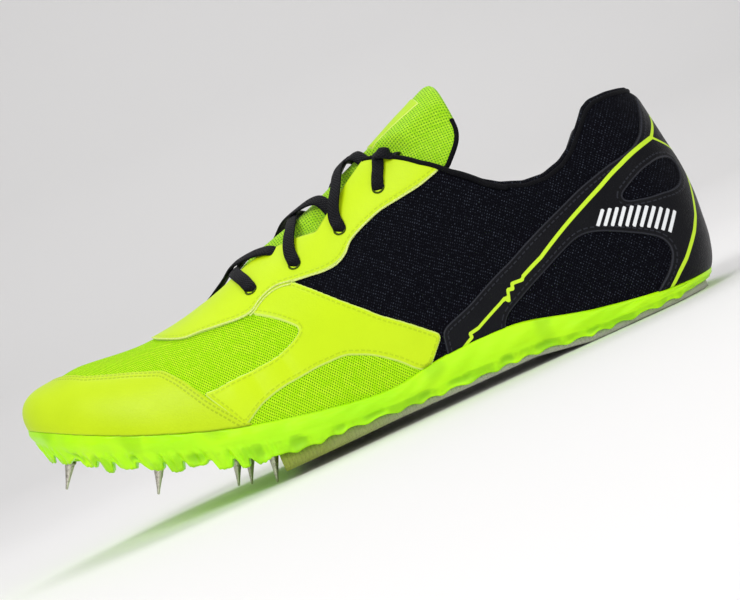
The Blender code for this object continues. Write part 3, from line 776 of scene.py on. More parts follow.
class Shader:
    """Builds the nodes of one material."""

    def __init__(self, name: str) -> None:
        """Makes a material with its Principled shader."""
        self.material = bpy.data.materials.new(name)
        self.material.use_nodes = True
        self.tree = self.material.node_tree
        self.principled = self.tree.nodes["Principled BSDF"]

    def node(self, kind: str, settings: dict, inputs: dict, output: str | int = 0) -> Value:
        """Adds a node, with its settings made before its inputs are linked.

        Args:
            kind: the type of the node.
            settings: properties of the node.
            inputs: values or links by the name or the number of the socket.
            output: the name or number of the socket that is returned.

        Returns:
            The value of the output.
        """
        made = self.tree.nodes.new(kind)
        for key, value in settings.items():
            setattr(made, key, value)
        for key, value in inputs.items():
            self.plug(made.inputs[key], value)
        return Value(self, made.outputs[output])

    def plug(self, socket: bpy.types.NodeSocket, value: Value | float | Colour) -> None:
        """Links a value to a socket, or sets the socket's own number or colour."""
        if isinstance(value, Value):
            self.tree.links.new(value.socket, socket)
        else:
            socket.default_value = (*value, 1.0) if isinstance(value, tuple) else value

    def maths(self, kind: str, *values: Value | float) -> Value:
        """Adds a Math node."""
        return self.node("ShaderNodeMath", {"operation": kind}, dict(enumerate(values)))

    def attribute(self, name: str) -> Value:
        """Reads a number that the piece carries."""
        return self.node("ShaderNodeAttribute", {"attribute_name": name}, {}, "Fac")

    def lengths(self, *names: str) -> tuple[Value, ...]:
        """Reads lengths that the piece carries, in millimetres."""
        return tuple(self.attribute(name) * MILLIMETRES for name in names)

    def place(self) -> Value:
        """Reads the object coordinates."""
        return self.node("ShaderNodeTexCoord", {}, {}, "Object")

    def split(self, vector: Value, scale: float) -> tuple[Value, Value]:
        """Returns the first two numbers of a vector, times a scale."""
        made = self.tree.nodes.new("ShaderNodeSeparateXYZ")
        self.plug(made.inputs[0], vector)
        return Value(self, made.outputs[0]) * scale, Value(self, made.outputs[1]) * scale

    def flat(self) -> tuple[Value, Value]:
        """Reads the flat places from the UV map, in millimetres."""
        return self.split(self.node("ShaderNodeUVMap", {"uv_map": "Flat"}, {}, "UV"), 100.0)

    def noise(self, scale: float, detail: float) -> Value:
        """Adds a noise on the object coordinates."""
        inputs = {"Vector": self.place(), "Scale": scale, "Detail": detail, "Roughness": 0.55}
        return self.node("ShaderNodeTexNoise", {}, inputs, "Fac")

    def cells(self, scale: float) -> Value:
        """Adds a cell pattern on the object coordinates."""
        inputs = {"Vector": self.place(), "Scale": scale}
        return self.node("ShaderNodeTexVoronoi", {}, inputs, "Distance")

    def mix(self, share: Value | float, first: Value | Colour, second: Value | Colour) -> Value:
        """Mixes two colours."""
        made = self.tree.nodes.new("ShaderNodeMix")
        made.data_type = "RGBA"
        for place, value in zip((0, 6, 7), (share, first, second)):
            self.plug(made.inputs[place], value)
        return Value(self, made.outputs[2])

    def bump(self, height: Value, strength: float, distance: float) -> None:
        """Sends a height in shares of a distance to the shader's normal."""
        inputs = {"Strength": strength, "Distance": distance, "Height": height}
        made = self.node("ShaderNodeBump", {}, inputs)
        self.tree.links.new(made.socket, self.principled.inputs["Normal"])

    def feed(self, **values: Value | float | Colour) -> None:
        """Sets the shader's inputs by name, with underscores for spaces."""
        for key, value in values.items():
            self.plug(self.principled.inputs[key.replace("_", " ")], value)

    def stitches(self, edge: Value, run: Value, inset: float, pitch: float, half: float) -> Value:
        """Returns a row of stitches at a distance from the edge.

        Args:
            edge: distance inside the piece, in millimetres.
            run: distance along the edge, in millimetres.
            inset: the row's distance from the edge.
            pitch: the distance from stitch to stitch.
            half: half a stitch's width.

        Returns:
            1 on a stitch and 0 beside it.
        """
        beside = (edge - inset).abs()
        along = ((run / pitch).fraction() - 0.5).abs() * pitch
        return beside.step(half * 1.25, half * 0.75) * along.step(pitch * 0.38, pitch * 0.3)


@dataclass(frozen=True)
class Sheet:
    """A smooth coated sheet with a fine grain, an edge, rows of stitches and painted shade along
    the line where it stops at the sole's cup or the throat.
    """

    name: str
    colour: Colour
    shade: Colour
    thread_and_foot_shade: Colour
    rim: Colour
    roughness: float = 0.42
    grain: float = 0.3
    cell: float = 900.0
    rows: tuple[float, ...] = (1.9,)
    rim_width: float = 0.55
    pitch: float = 2.3
    contrast: float = 0.4

    def build(self) -> Shader:
        """Builds the material."""
        s = Shader(self.name)
        edge, run, foot = s.lengths("edge", "run", "foot")
        broad = s.noise(38.0, 2.0)
        fine = s.cells(self.cell)
        dust = s.noise(700.0, 4.0)
        colour = s.mix(broad.step(0.3, 0.72) * 0.55, self.colour, self.shade)
        colour = s.mix(fine.step(0.1, 0.62) * 0.12 + dust * 0.06, colour, self.shade)
        # painted shade: a dark line along the sheet's foot, where it stops at the sole's cup or the
        # throat, mixed towards the thread colour
        colour = s.mix(foot.step(1.3, 0.1) * 0.75, colour, self.thread_and_foot_shade)
        cut = edge.step(self.rim_width * 1.3, self.rim_width * 0.7)
        colour = s.mix(cut, colour, self.rim)
        height = fine.step(0.05, 0.6) * self.grain + broad * 0.8
        if self.rows:
            seam = valley = 0.0
            for inset in self.rows:
                seam = s.stitches(edge, run, inset, self.pitch, 0.3) + seam
                valley = (edge - inset).abs().step(0.9, 0.15) + valley
            colour = s.mix(seam * self.contrast, colour, self.thread_and_foot_shade)
            height = height - valley * 0.9 + seam * 0.9
        s.feed(Base_Color=colour, Roughness=dust * 0.16 + (self.roughness - 0.08))
        s.feed(Coat_Weight=0.03, Coat_Roughness=0.35, Specular_IOR_Level=0.22)
        s.bump(height, 0.55, 0.00018)
        return s


@dataclass(frozen=True)
class Mesh:
    """A knitted mesh with staggered holes and the yarn's relief."""

    name: str
    yarn: Colour
    light: Colour
    hole: Colour
    pitch: float = 1.15
    stretch: float = 1.35
    size: float = 0.62
    sheen: float = 0.3
    turn: float = 0.0

    def pattern(self, s: Shader) -> tuple[Value, Value, Value]:
        """Returns the holes, the yarn's relief and the variation."""
        u, v = s.flat()
        wander = s.noise(90.0, 2.0)
        c, w = math.cos(self.turn), math.sin(self.turn)
        a = (u * c + v * w) / self.pitch + wander * 0.5
        b = (v * c - u * w) / (self.pitch * self.stretch) + wander * 0.4
        full = 2 * math.pi
        lobes = (a * full).cos() * (b * full).cos() * 0.5 + 0.5
        uneven = s.noise(520.0, 2.0)
        hole = (lobes + (uneven - 0.5) * 0.45).step(self.size, self.size + 0.24)
        strands = ((a * (2 * full) + b * full).sin() * 0.5 + 0.5) * 0.35
        return hole, (1.0 - lobes) + strands, uneven

    def cloth(self, s: Shader) -> tuple[Value, Value]:
        """Returns the mesh's colour and its height."""
        hole, relief, uneven = self.pattern(s)
        share = uneven.step(0.35, 0.7) * 0.7 + s.noise(30.0, 2.0) * 0.2
        colour = s.mix(share, self.yarn, self.light)
        return s.mix(hole, colour, self.hole), relief - hole * 0.8

    def build(self) -> Shader:
        """Builds the material."""
        s = Shader(self.name)
        colour, height = self.cloth(s)
        s.feed(Base_Color=colour, Roughness=0.82, Sheen_Weight=self.sheen)
        s.feed(Specular_IOR_Level=0.25)
        s.bump(height, 0.75, 0.0003)
        return s


@dataclass(frozen=True)
class TwoMesh:
    """The upper's fabric: bright mesh at the front and black mesh at the back."""

    name: str
    bright: Mesh
    dark: Mesh

    def build(self) -> Shader:
        """Builds the material; the attribute border is positive behind the join."""
        s = Shader(self.name)
        border = s.lengths("border")[0].step(-0.15, 0.15)
        neon, height = self.bright.cloth(s)
        pores, knots, varied = self.dark.pattern(s)
        speck = s.noise(1500.0, 2.0)
        night = s.mix(pores * speck.step(0.44, 0.68), self.dark.yarn, self.dark.light)
        night = s.mix(varied.step(0.6, 0.75) * 0.35, night, self.dark.hole)
        colour = s.mix(border, neon, night)
        s.feed(Base_Color=colour, Roughness=0.8, Sheen_Weight=0.0, Specular_IOR_Level=0.08)
        height = height * (1.0 - border) + (knots * 0.9 + speck * 0.3) * border
        s.bump(height, 0.7, 0.0003)
        return s


@dataclass(frozen=True)
class Printed:
    """The heel cage's grained black sheet with its bright lines and pale bars."""

    name: str
    colour: Colour
    shade: Colour
    line: Colour
    bar: Colour

    def build(self) -> Shader:
        """Builds the material from the attributes line, bars, edge and run."""
        s = Shader(self.name)
        edge, run, line, bars = s.lengths("edge", "run", "line", "bars")
        line, bars = line.step(0.1, -0.1), bars.step(0.1, -0.1)
        grain = s.cells(1300.0)
        broad = s.noise(26.0, 3.0)
        dust = s.noise(900.0, 4.0)
        colour = s.mix(broad.step(0.35, 0.7), self.colour, self.shade)
        colour = s.mix(grain.step(0.1, 0.55) * 0.35, colour, self.shade)
        groove = (edge - 2.2).abs().step(0.8, 0.1)
        seam = s.stitches(edge, run, 2.2, 2.2, 0.28)
        colour = s.mix(groove * 0.6 - seam * 0.4, colour, self.colour)
        rim = (edge - 0.55).abs().step(0.45, 0.1)
        colour = s.mix(rim * 0.6, colour, (0.042, 0.044, 0.056))
        colour = s.mix(seam * 0.6, colour, (0.03, 0.032, 0.042))
        colour = s.mix(bars, colour, self.bar)
        colour = s.mix(line, colour, self.line)
        flat = (1.0 - line) * (1.0 - bars)
        height = grain.step(0.05, 0.6) * 0.55 * flat + line * 0.5 + bars * 0.45
        height = height - groove * 0.8 + seam * 0.5
        s.feed(Base_Color=colour, Roughness=dust * 0.2 + 0.3, Specular_IOR_Level=0.11)
        s.bump(height, 0.6, 0.00022)
        return s


@dataclass(frozen=True)
class Moulding:
    """The sole's bright moulded plastic, a little clouded, with painted shade down its toothed
    edge, in the bowls of its side and on the bosses, and a faint painted glow.
    """

    name: str
    colour: Colour
    deep: Colour
    pale: Colour

    def build(self) -> Shader:
        """Builds the material."""
        s = Shader(self.name)
        broad = s.noise(24.0, 2.0)
        cloud = s.noise(85.0, 3.0)
        dust = s.noise(800.0, 4.0)
        painted_shade = s.attribute("painted_shade")
        patch = s.noise(46.0, 1.0)
        colour = s.mix(broad.step(0.38, 0.66) * 0.6, self.colour, self.pale)
        colour = s.mix(patch.step(0.56, 0.66) * 0.4, colour, self.deep)
        # painted shade: the toothed edge, the bowls of the dents and the bosses are clouded and
        # darkened towards the deep colour by their painted shade values
        colour = s.mix(cloud.step(0.46, 0.6) * painted_shade.step(0.03, 0.14) * 0.55, colour, self.deep)
        colour = s.mix(painted_shade.step(0.2, 0.7) * 0.65, colour, self.deep)
        s.feed(Base_Color=colour, Roughness=dust * 0.12 + 0.3, Specular_IOR_Level=0.3)
        s.feed(Coat_Weight=0.05, Coat_Roughness=0.22)
        s.feed(Subsurface_Weight=0.1, Subsurface_Scale=0.002)
        # painted light: a faint emission of the sole's own colour brightens it, shade included,
        # standing in for the fluorescence of the neon plastic
        s.feed(Emission_Color=colour, Emission_Strength=0.06)
        s.bump(cloud * 0.7 + dust * 0.25, 0.35, 0.0003)
        return s


@dataclass(frozen=True)
class Rubber:
    """The outsole's matt sheet, olive in front and greyer to the heel."""

    name: str
    front: Colour
    back: Colour
    tread: float = 3.2

    def build(self) -> Shader:
        """Builds the material."""
        s = Shader(self.name)
        x, y = s.split(s.place(), MILLIMETRES)
        dust = s.noise(900.0, 4.0)
        broad = s.noise(60.0, 3.0)
        colour = s.mix((x + (broad - 0.5) * 30.0).step(-50.0, 45.0), self.front, self.back)
        colour = s.mix(dust.step(0.5, 0.8) * 0.25, colour, (0.1, 0.1, 0.09))
        turns = 2 * math.pi / self.tread
        tread = ((x + y) * turns).sin() * ((x - y) * turns).sin()
        s.feed(Base_Color=colour, Roughness=dust * 0.15 + 0.62)
        s.bump(tread.step(-0.1, 0.25) * 0.9 + dust * 0.3, 0.7, 0.00035)
        return s


@dataclass(frozen=True)
class Braid:
    """The lace's woven braid, or the weave of a binding tape, with a painted highlight on the
    strands that lie over.
    """

    name: str
    colour: Colour
    # the colour of the painted highlight on the strands that lie over
    light: Colour
    pitch: float = 1.3
    roughness: float = 0.55

    def build(self) -> Shader:
        """Builds the material from the attributes run and turn."""
        s = Shader(self.name)
        run, turn = s.lengths("run", "turn")
        full = 2 * math.pi / self.pitch
        left = ((run + turn * 1.1) * full).sin()
        right = ((run - turn * 1.1) * full).sin()
        over = left.most(right)
        dust = s.noise(1400.0, 3.0)
        # painted highlight: the strands that lie over are lightened, broken up by noise
        colour = s.mix(over.step(0.1, 1.0) * 0.6 * dust.step(0.3, 0.7), self.colour, self.light)
        s.feed(Base_Color=colour, Roughness=dust * 0.2 + (self.roughness - 0.1))
        s.feed(Specular_IOR_Level=0.12)
        s.bump(over * 0.8 + dust * 0.3, 0.7, 0.00022)
        return s


@dataclass(frozen=True)
class Steel:
    """The pins' turned steel, with tool rings and a darker base."""

    name: str
    colour: Colour
    dark: Colour

    def build(self) -> Shader:
        """Builds the material from the attribute run, the distance along the pin."""
        s = Shader(self.name)
        run = s.lengths("run")[0]
        dust = s.noise(900.0, 4.0)
        rings = (run * (2 * math.pi / 0.35)).sin()
        colour = s.mix(dust.step(0.45, 0.75) * 0.6, self.colour, self.dark)
        colour = s.mix(run.step(3.0, 0.6) * 0.7, colour, self.dark)
        s.feed(Base_Color=colour, Metallic=1.0, Roughness=dust * 0.18 + 0.16)
        s.bump(rings * 0.5 + dust * 0.4, 0.35, 0.00008)
        return s


class Finish:
    """All the finishes of the shoe."""

    def __init__(self) -> None:
        """Builds every material once."""
        bright = Mesh(
            "bright_mesh", linear(168, 230, 8), linear(204, 250, 40), linear(78, 144, 2), 1.12
        )
        dark = Mesh(
            "dark_mesh", linear(2, 2, 9), linear(56, 61, 72), linear(10, 10, 20), 1.35, 1.2, 0.62
        )
        cream = linear(212, 234, 110)
        self.upper = TwoMesh("upper_mesh", bright, dark).build()
        self.toe = Sheet(
            "toe_sheet", linear(188, 218, 10), linear(202, 230, 20), linear(112, 140, 6),
            linear(190, 220, 40), 0.42, 0.25, 1100.0, (1.5, 3.0), 0.35, 2.0, 0.38,
        ).build()
        self.stay = Sheet(
            "stay_sheet", linear(194, 226, 5), linear(204, 234, 10), linear(112, 138, 10), cream,
            0.42, 0.22, 1100.0, (1.7,), 0.6, 2.3, 0.24,
        ).build()
        self.cage = Printed(
            "cage_sheet", linear(3, 3, 8), linear(13, 14, 19), linear(198, 234, 50),
            linear(232, 234, 236),
        ).build()
        self.tongue = Mesh(
            "tongue_knit", linear(156, 218, 8), linear(190, 240, 44), linear(100, 166, 2),
            1.3, 1.5, 0.6, 0.1, 0.6,
        ).build()
        self.label = Sheet(
            "label_tape", linear(178, 218, 26), linear(188, 226, 48), linear(150, 180, 40),
            linear(214, 236, 112), 0.5, 0.2, 1500.0, (), 0.45,
        ).build()
        self.piping = Braid(
            "pale_piping", linear(214, 230, 120), linear(234, 244, 176), 1.6, 0.6
        ).build()
        self.binding = Braid("black_binding", linear(4, 4, 8), linear(22, 23, 29), 0.9, 0.7).build()
        self.lace = Braid("black_braid", linear(3, 3, 7), linear(26, 27, 36), 1.5, 0.55).build()
        self.lining = Mesh(
            "lining_mesh", linear(12, 12, 18), linear(40, 42, 52), linear(4, 4, 8),
            1.6, 1.2, 0.62, 0.2,
        ).build()
        self.insole = Mesh(
            "insole_fabric", linear(16, 16, 20), linear(38, 38, 44), linear(8, 8, 10),
            1.2, 1.0, 0.75, 0.3,
        ).build()
        self.sole = Moulding(
            "sole_moulding", linear(170, 238, 0), linear(134, 198, 0), linear(196, 248, 8)
        ).build()
        self.outsole = Rubber("outsole_rubber", linear(138, 150, 52), linear(176, 176, 166)).build()
        self.steel = Steel("pin_steel", linear(206, 202, 188), linear(84, 78, 66)).build()
        self.eyelet = Braid(
            "eyelet_edge", linear(58, 74, 12), linear(110, 134, 30), 0.8, 0.6
        ).build()


def dress(piece: Piece, finish: Shader, slot: str, *nodes: str) -> Piece:
    """Gives a piece its material and its body, and hides the CAD nodes that it stands for.

    Args:
        piece: the finished piece.
        finish: its material.
        slot: not used.
        nodes: CAD nodes that it replaces.

    Returns:
        The piece.
    """
    piece.data.materials.clear()
    piece.data.materials.append(finish.material)
    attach(piece, "root")
    if nodes:
        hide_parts(*nodes)
    LOG.info("%s: %d faces", piece.name, len(piece.data.polygons))
    return piece


# ---- the shoe


RIM_SHARES = (
    0.0, 0.29, 0.31, 0.34, 0.38, 0.413, 0.441, 0.467, 0.495, 0.535, 0.565, 0.598, 0.613, 0.638,
    0.665, 0.7, 0.715, 0.735, 0.755, 0.785, 0.815, 0.845, 0.865, 0.885, 0.901, 0.915, 0.93, 0.96,
    1.0,
)
RIM_ACROSS = (
    0.0, 0.0, 0.07, 0.11, 0.13, 0.15, 0.207, 0.247, 0.303, 0.238, 0.195, 0.162, 0.228, 0.33, 0.434,
    0.537, 0.569, 0.614, 0.642, 0.664, 0.67, 0.659, 0.642, 0.616, 0.592, 0.57, 0.558, 0.553, 0.553,
)
MEDIAL_DIP = 0.03
FOAM = 0.0011
ANKLE_DIP = 0.001


def rim_across(share: Array, side: Array | int) -> Array:
    """Returns how far across the upper's top edge lies; the medial collar is lower."""
    dip = MEDIAL_DIP * ease((share - 0.76) / 0.08) * ease((1 - share) / 0.06)
    fine = np.linspace(0, 1, 2001)
    edge = np.interp(fine, RIM_SHARES, RIM_ACROSS)
    soft = np.convolve(np.pad(edge, 6, mode="edge"), np.ones(13) / 13, "valid")
    soft = np.where(fine < 0.29, 0.0, soft)
    return np.interp(share, fine, soft) + np.where(np.asarray(side) > 0, dip, 0.0)


def cup_height(share: Array) -> Array:
    """Returns the height of the sole's cup above the last's underside."""
    return Sole.CUP_HEIGHT * Column.through(Sole.SHARES, Sole.CUP)(share)


CREASES = (
    (0.33, 0.05, 0.0007, 0.01),
    (0.372, 0.07, 0.0006, 0.009),
    (0.3, 0.03, -0.0004, 0.012),
    (0.655, -0.3, 0.0005, 0.014),
    (0.61, -0.25, -0.0003, 0.014),
)


def swell(share: Array, across: Array) -> Array:
    """Returns the height of creases, ankle dip and foam, for the fabric and the sheets on it."""
    share, across = both(share, across)
    out = np.abs(across)
    rim = rim_across(share, np.where(across < 0, -1, 1))
    part = np.clip((1 - out) / np.maximum(1 - rim, 1e-6), 0.0, 1.0)
    height = np.zeros_like(out)
    for centre, lean, depth, width in CREASES:
        place = centre + lean * (out - 0.6)
        fade = ease((out - 0.46) / 0.12) * ease((0.93 - out) / 0.15)
        height = height - depth * np.exp(-(((share - place) / width) ** 2)) * fade
    ankle = np.exp(-(((share - 0.8) / 0.07) ** 2) - (((out - 0.76) / 0.06) ** 2))
    height = height - ANKLE_DIP * ankle
    foam = FOAM * ease((share - 0.66) / 0.1) * ease((part - 0.5) / 0.35)
    return (height + foam) * ease((1 - part) / 0.1)


@dataclass
class Upper:
    """The fabric shell, its lining and the bindings of its top edge."""

    skin: float = 0.0024
    pad: float = 0.004
    border: Path = (
        (0.0, 0.64), (0.38, 0.62), (0.44, 0.436), (0.6, 0.452), (0.68, 0.5), (0.78, 0.528),
        (0.86, 0.548), (0.93, 0.562), (1.0, 0.575),
    )

    def half_shell(self, shares: Array, part: Array, side: Side, inside: bool) -> tuple:
        """Returns the points, the flat places and the border values of one side.

        Args:
            shares: shares of the length.
            part: from 0 at the feather line to 1 at the top edge.
            side: the side.
            inside: whether this is the lining.

        Returns:
            Three arrays, one row a share; the last columns turn over the top edge.
        """
        turns = (0.35, 0.7, 1.0)
        rim = rim_across(shares, side.value)
        s, p = np.meshgrid(shares, part, indexing="ij")
        a = 1.0 + (rim[:, None] - 1.0) * p
        if inside:
            offset = 0.0001 - self.pad * ease((s - 0.66) / 0.1) * ease((p - 0.45) / 0.35)
        else:
            offset = self.skin + swell(s, side.value * a)
        points = LAST.skin(s, side.value * a, offset)
        flat = CHART.place(s, a)
        flat[..., 1] *= side.value
        at = side.value * rim
        out = LAST.skin(shares, at, self.skin)
        into = LAST.skin(shares, at, -self.pad * ease((shares - 0.66) / 0.1))
        above = LAST.skin(shares, side.value * np.maximum(rim - 0.02, 0), 0.001)
        edge_up = above - LAST.skin(shares, at, 0.001)
        length = np.linalg.norm(edge_up, axis=1, keepdims=True)
        edge_up = np.where(length > 1e-6, edge_up / np.maximum(length, 1e-9), 0.0)
        middle, reach = (out + into) / 2, (out - into) / 2
        thick = np.linalg.norm(reach, axis=1, keepdims=True)
        open_here = (rim > 1e-4)[:, None]
        turned, turned_flat = [], []
        for turn in turns:
            angle = turn * math.pi / 2
            way = reach * math.cos(angle) * (-1 if inside else 1)
            lift = edge_up * thick * math.sin(angle) * 0.55 * open_here
            turned.append(middle + way + lift)
            turned_flat.append(flat[:, -1] + np.array([0.0, -side.value * 0.0008 * turn]))
        points = np.concatenate([points, np.stack(turned, axis=1)], axis=1)
        flat = np.concatenate([flat, np.stack(turned_flat, axis=1)], axis=1)
        closed = ~open_here[:, 0]
        points[closed, len(part) :] = points[closed, len(part) - 1 : len(part)]
        across = np.concatenate([a, np.repeat(rim[:, None], len(turns), axis=1)], axis=1)
        edge = np.interp(across, *zip(*self.border))
        return points, flat, (s[:, :1] - edge) * LAST.length

    def shell(self, name: str, stations: int, rows: int, inside: bool) -> Piece:
        """Builds the outer face or the lining of the shell, both sides welded at the crest.

        Args:
            name: the name of the piece.
            stations: steps along the last.
            rows: steps from the feather line to the top edge.
            inside: whether this is the lining.

        Returns:
            The piece.
        """
        shares = LAST.share_of(np.linspace(0, 1, stations + 1))
        shares[0], shares[-1] = 0.0, 1.0
        parts, faces, base = [], [], 0
        for side in Side:
            part = np.linspace(0, 1, rows + 1)
            points, flat, border = self.half_shell(shares, part, side, inside)
            total, wide = border.shape
            faces += quads(total, wide, base=base, flip=(side is Side.MEDIAL) != inside)
            parts.append((points.reshape(-1, 3), flat.reshape(-1, 2), border.ravel()))
            base += border.size
        points, flats, borders = zip(*parts)
        made = lift_mesh(name, np.vstack(points), faces)
        write_values(made, "border", np.concatenate(borders))
        write_map(made, np.vstack(flats))
        weld(made)
        return made

    @staticmethod
    def rim_path(first: float, last: float, drop: float, side: Side) -> Path:
        """Returns places just under the top edge from one share to another."""
        shares = np.linspace(first, last, 60)
        return [(float(s), float(rim_across(s, side.value)) + drop) for s in shares]

    def make(self, finish: Finish) -> None:
        """Builds and dresses the shell, its lining and the collar's binding."""
        outer = self.shell("upper_shell", 430, 66, False)
        dress(outer, finish.upper, "mesh_fabric", "upper")
        lining = self.shell("collar_lining", 200, 34, True)
        dress(lining, finish.lining, "black_lining")
        tubes = []
        for side in Side:
            front = self.rim_path(0.598, 0.76, 0.01, side)
            tubes.append(tube_on_skin(front, 0.0011, 0.0031, side, 0.75))
            back = self.rim_path(0.75, 0.999, 0.006, side)
            tubes.append(tube_on_skin(back, 0.0009, 0.0024, side, 0.6))
        dress(join("collar_binding", tubes), finish.binding, "black_lining")


@dataclass
class Overlays:
    """The smooth sheets on the upper: toe cap, eyestay, forefoot wings and heel cage."""

    toe: Path = (
        (-0.03, 0.0), (0.052, -0.06), (0.0576, 0.1), (0.072, 0.2), (0.09, 0.3), (0.1138, 0.388),
        (0.1491, 0.431), (0.1831, 0.467), (0.2235, 0.523), (0.245, 0.62), (0.2717, 0.768),
        (0.2907, 0.843), (0.3087, 0.903), (0.33, 1.06), (0.33, 1.8), (-0.03, 1.8),
    )
    stay: Path = (
        (0.21, -0.1), (0.213, 0.06), (0.2223, 0.2), (0.24, 0.29), (0.2627, 0.361), (0.292, 0.388),
        (0.3222, 0.427), (0.3504, 0.463), (0.3692, 0.471), (0.38, 0.45), (0.389, 0.439),
        (0.4118, 0.431), (0.434, 0.456), (0.4615, 0.483), (0.4833, 0.503), (0.5044, 0.509),
        (0.5182, 0.497), (0.532, 0.468), (0.5515, 0.459), (0.5839, 0.459), (0.6202, 0.482),
        (0.6517, 0.503), (0.6792, 0.511), (0.696, 0.514), (0.705, 0.4), (0.68, -0.1),
    )
    wing: Path = (
        (0.364, 0.468), (0.3692, 0.466), (0.38, 0.446), (0.389, 0.434), (0.4118, 0.426),
        (0.434, 0.451), (0.4543, 0.528), (0.4746, 0.6), (0.4898, 0.648), (0.5058, 0.692),
        (0.5254, 0.748), (0.5472, 0.795), (0.5681, 0.839), (0.5925, 0.888), (0.556, 0.958),
        (0.5392, 0.94), (0.5262, 0.908), (0.5073, 0.872), (0.4898, 0.843), (0.4593, 0.81),
        (0.4369, 0.811), (0.4232, 0.81), (0.4003, 0.818), (0.3776, 0.823), (0.3545, 0.836),
        (0.3331, 0.858), (0.318, 0.892), (0.3, 0.93), (0.286, 0.85), (0.27, 0.765), (0.264, 0.725),
        (0.2795, 0.731), (0.298, 0.719), (0.3208, 0.712), (0.3434, 0.708), (0.3657, 0.711),
        (0.3868, 0.699), (0.4046, 0.683), (0.4196, 0.654), (0.4096, 0.617), (0.3939, 0.565),
        (0.3678, 0.485),
    )
    cage: Path = (
        (0.5925, 0.88), (0.6082, 0.869), (0.6434, 0.854), (0.6812, 0.829), (0.7185, 0.807),
        (0.7753, 0.765), (0.8129, 0.743), (0.8509, 0.722), (0.8881, 0.707), (0.9197, 0.698),
        (0.9424, 0.688), (0.96, 0.67), (0.9752, 0.64), (0.99, 0.59), (1.0, 0.56), (1.1, 0.5),
        (1.1, 1.8), (0.58, 1.8), (0.58, 1.0),
    )
    low_window: Path = (
        (0.672, 0.96), (0.6812, 0.924), (0.7093, 0.899), (0.7569, 0.859), (0.785, 0.836),
        (0.8124, 0.818), (0.828, 0.815), (0.85, 0.824), (0.8735, 0.841), (0.9103, 0.872),
        (0.924, 0.888), (0.929, 0.905), (0.9285, 0.926), (0.9189, 0.952), (0.9036, 0.973),
        (0.8953, 0.985), (0.885, 1.02), (0.885, 1.8), (0.66, 1.8), (0.66, 1.0),
    )
    high_window: Path = (
        (0.8922, 0.776), (0.9062, 0.763), (0.9372, 0.741), (0.967, 0.732), (0.983, 0.738),
        (0.988, 0.752), (0.984, 0.778), (0.975, 0.795), (0.96, 0.8), (0.9293, 0.796),
        (0.905, 0.788), (0.896, 0.782),
    )
    line: Path = (
        (0.7263, 0.851), (0.7593, 0.826), (0.8378, 0.762), (0.8754, 0.738), (0.9145, 0.713),
        (0.9531, 0.693), (0.9737, 0.685),
    )
    line_foot: Path = (
        (0.6032, 0.95), (0.6181, 0.937), (0.627, 0.93), (0.6265, 0.92), (0.64, 0.917),
        (0.6812, 0.888), (0.69, 0.881), (0.6945, 0.89), (0.699, 0.866), (0.706, 0.869),
        (0.7075, 0.857), (0.723, 0.858), (0.7263, 0.851),
    )
    line_high: Path = ((0.9737, 0.685), (0.9863, 0.664), (0.9963, 0.637), (1.02, 0.61))
    line_low: Path = ((0.9737, 0.685), (0.9845, 0.701), (1.02, 0.735))
    rear_line: Path = (
        (0.999, 0.77), (0.9934, 0.803), (0.9887, 0.829), (0.9806, 0.87), (0.9703, 0.898),
        (0.9573, 0.923), (0.9464, 0.944), (0.9322, 0.963), (0.9201, 0.982), (0.915, 1.0),
    )
    bar_top: Path = ((0.8646, 0.782), (0.9525, 0.843))
    bar_foot: Path = ((0.8483, 0.81), (0.9351, 0.88))
    bars: int = 11
    bar_half: float = 0.00066
    seam: Path = (
        (0.215, 0.11), *stay[2:8], (0.3692, 0.47), (0.38, 0.45), (0.389, 0.438), (0.4118, 0.43),
        (0.434, 0.454),
    )
    second_seam: Path = (
        (0.364, 0.485), (0.373, 0.478), (0.383, 0.462), (0.391, 0.452), (0.4118, 0.446),
        (0.432, 0.466),
    )
    edge: Path = (*stay[12:22], (0.68, 0.51))

    @staticmethod
    def above_cup(share: Array, across: Array) -> Array:
        """Returns how far above the sole's cup a place lies, in metres."""
        line = LAST.across_at(share, cup_height(share) + 0.0002)
        return (line - np.abs(across)) * 0.085

    @staticmethod
    def inside_rim(share: Array, across: Array) -> Array:
        """Returns how far a place lies below the throat's edge, in metres."""
        side = np.where(across < 0, -1, 1)
        gap = (np.abs(across) - rim_across(share, side) - 0.004) * 0.072
        return np.where(share > 0.292, gap, 1.0)

    def cage_attributes(self, made: Piece) -> None:
        """Writes the distances to the printed lines and bars to the cage."""
        layer = made.data.uv_layers["Flat"]
        uv = np.zeros(len(made.data.loops) * 2, np.float32)
        layer.data.foreach_get("uv", uv)
        corners = np.zeros(len(made.data.loops), np.int32)
        made.data.loops.foreach_get("vertex_index", corners)
        flat = np.zeros((len(made.data.vertices), 2))
        flat[corners] = uv.reshape(-1, 2) / 10
        flat[:, 1] = np.abs(flat[:, 1])
        best = bars = np.full(len(flat), 1e3)
        for path, half in (
            (self.line_foot, 0.00064), (self.line, 0.00076), (self.line_high, 0.0006),
            (self.line_low, 0.0006), (self.rear_line, 0.00075),
        ):
            gap, _ = Outline(path, closed=False).distance(flat)
            best = np.minimum(best, gap - half)
        write_values(made, "line", best)
        tops = CHART.place(*np.array(self.bar_top).T)
        feet = CHART.place(*np.array(self.bar_foot).T)
        for t in np.arange(self.bars) / (self.bars - 1):
            top = tops[0] + (tops[1] - tops[0]) * t
            span = feet[0] + (feet[1] - feet[0]) * t - top
            length = np.linalg.norm(span)
            way = span / length
            along = (flat - top) @ way
            across = np.abs((flat - top) @ np.array([-way[1], way[0]]))
            box = np.maximum(across - self.bar_half, np.maximum(-along, along - length))
            bars = np.minimum(bars, box)
        write_values(made, "bars", bars)

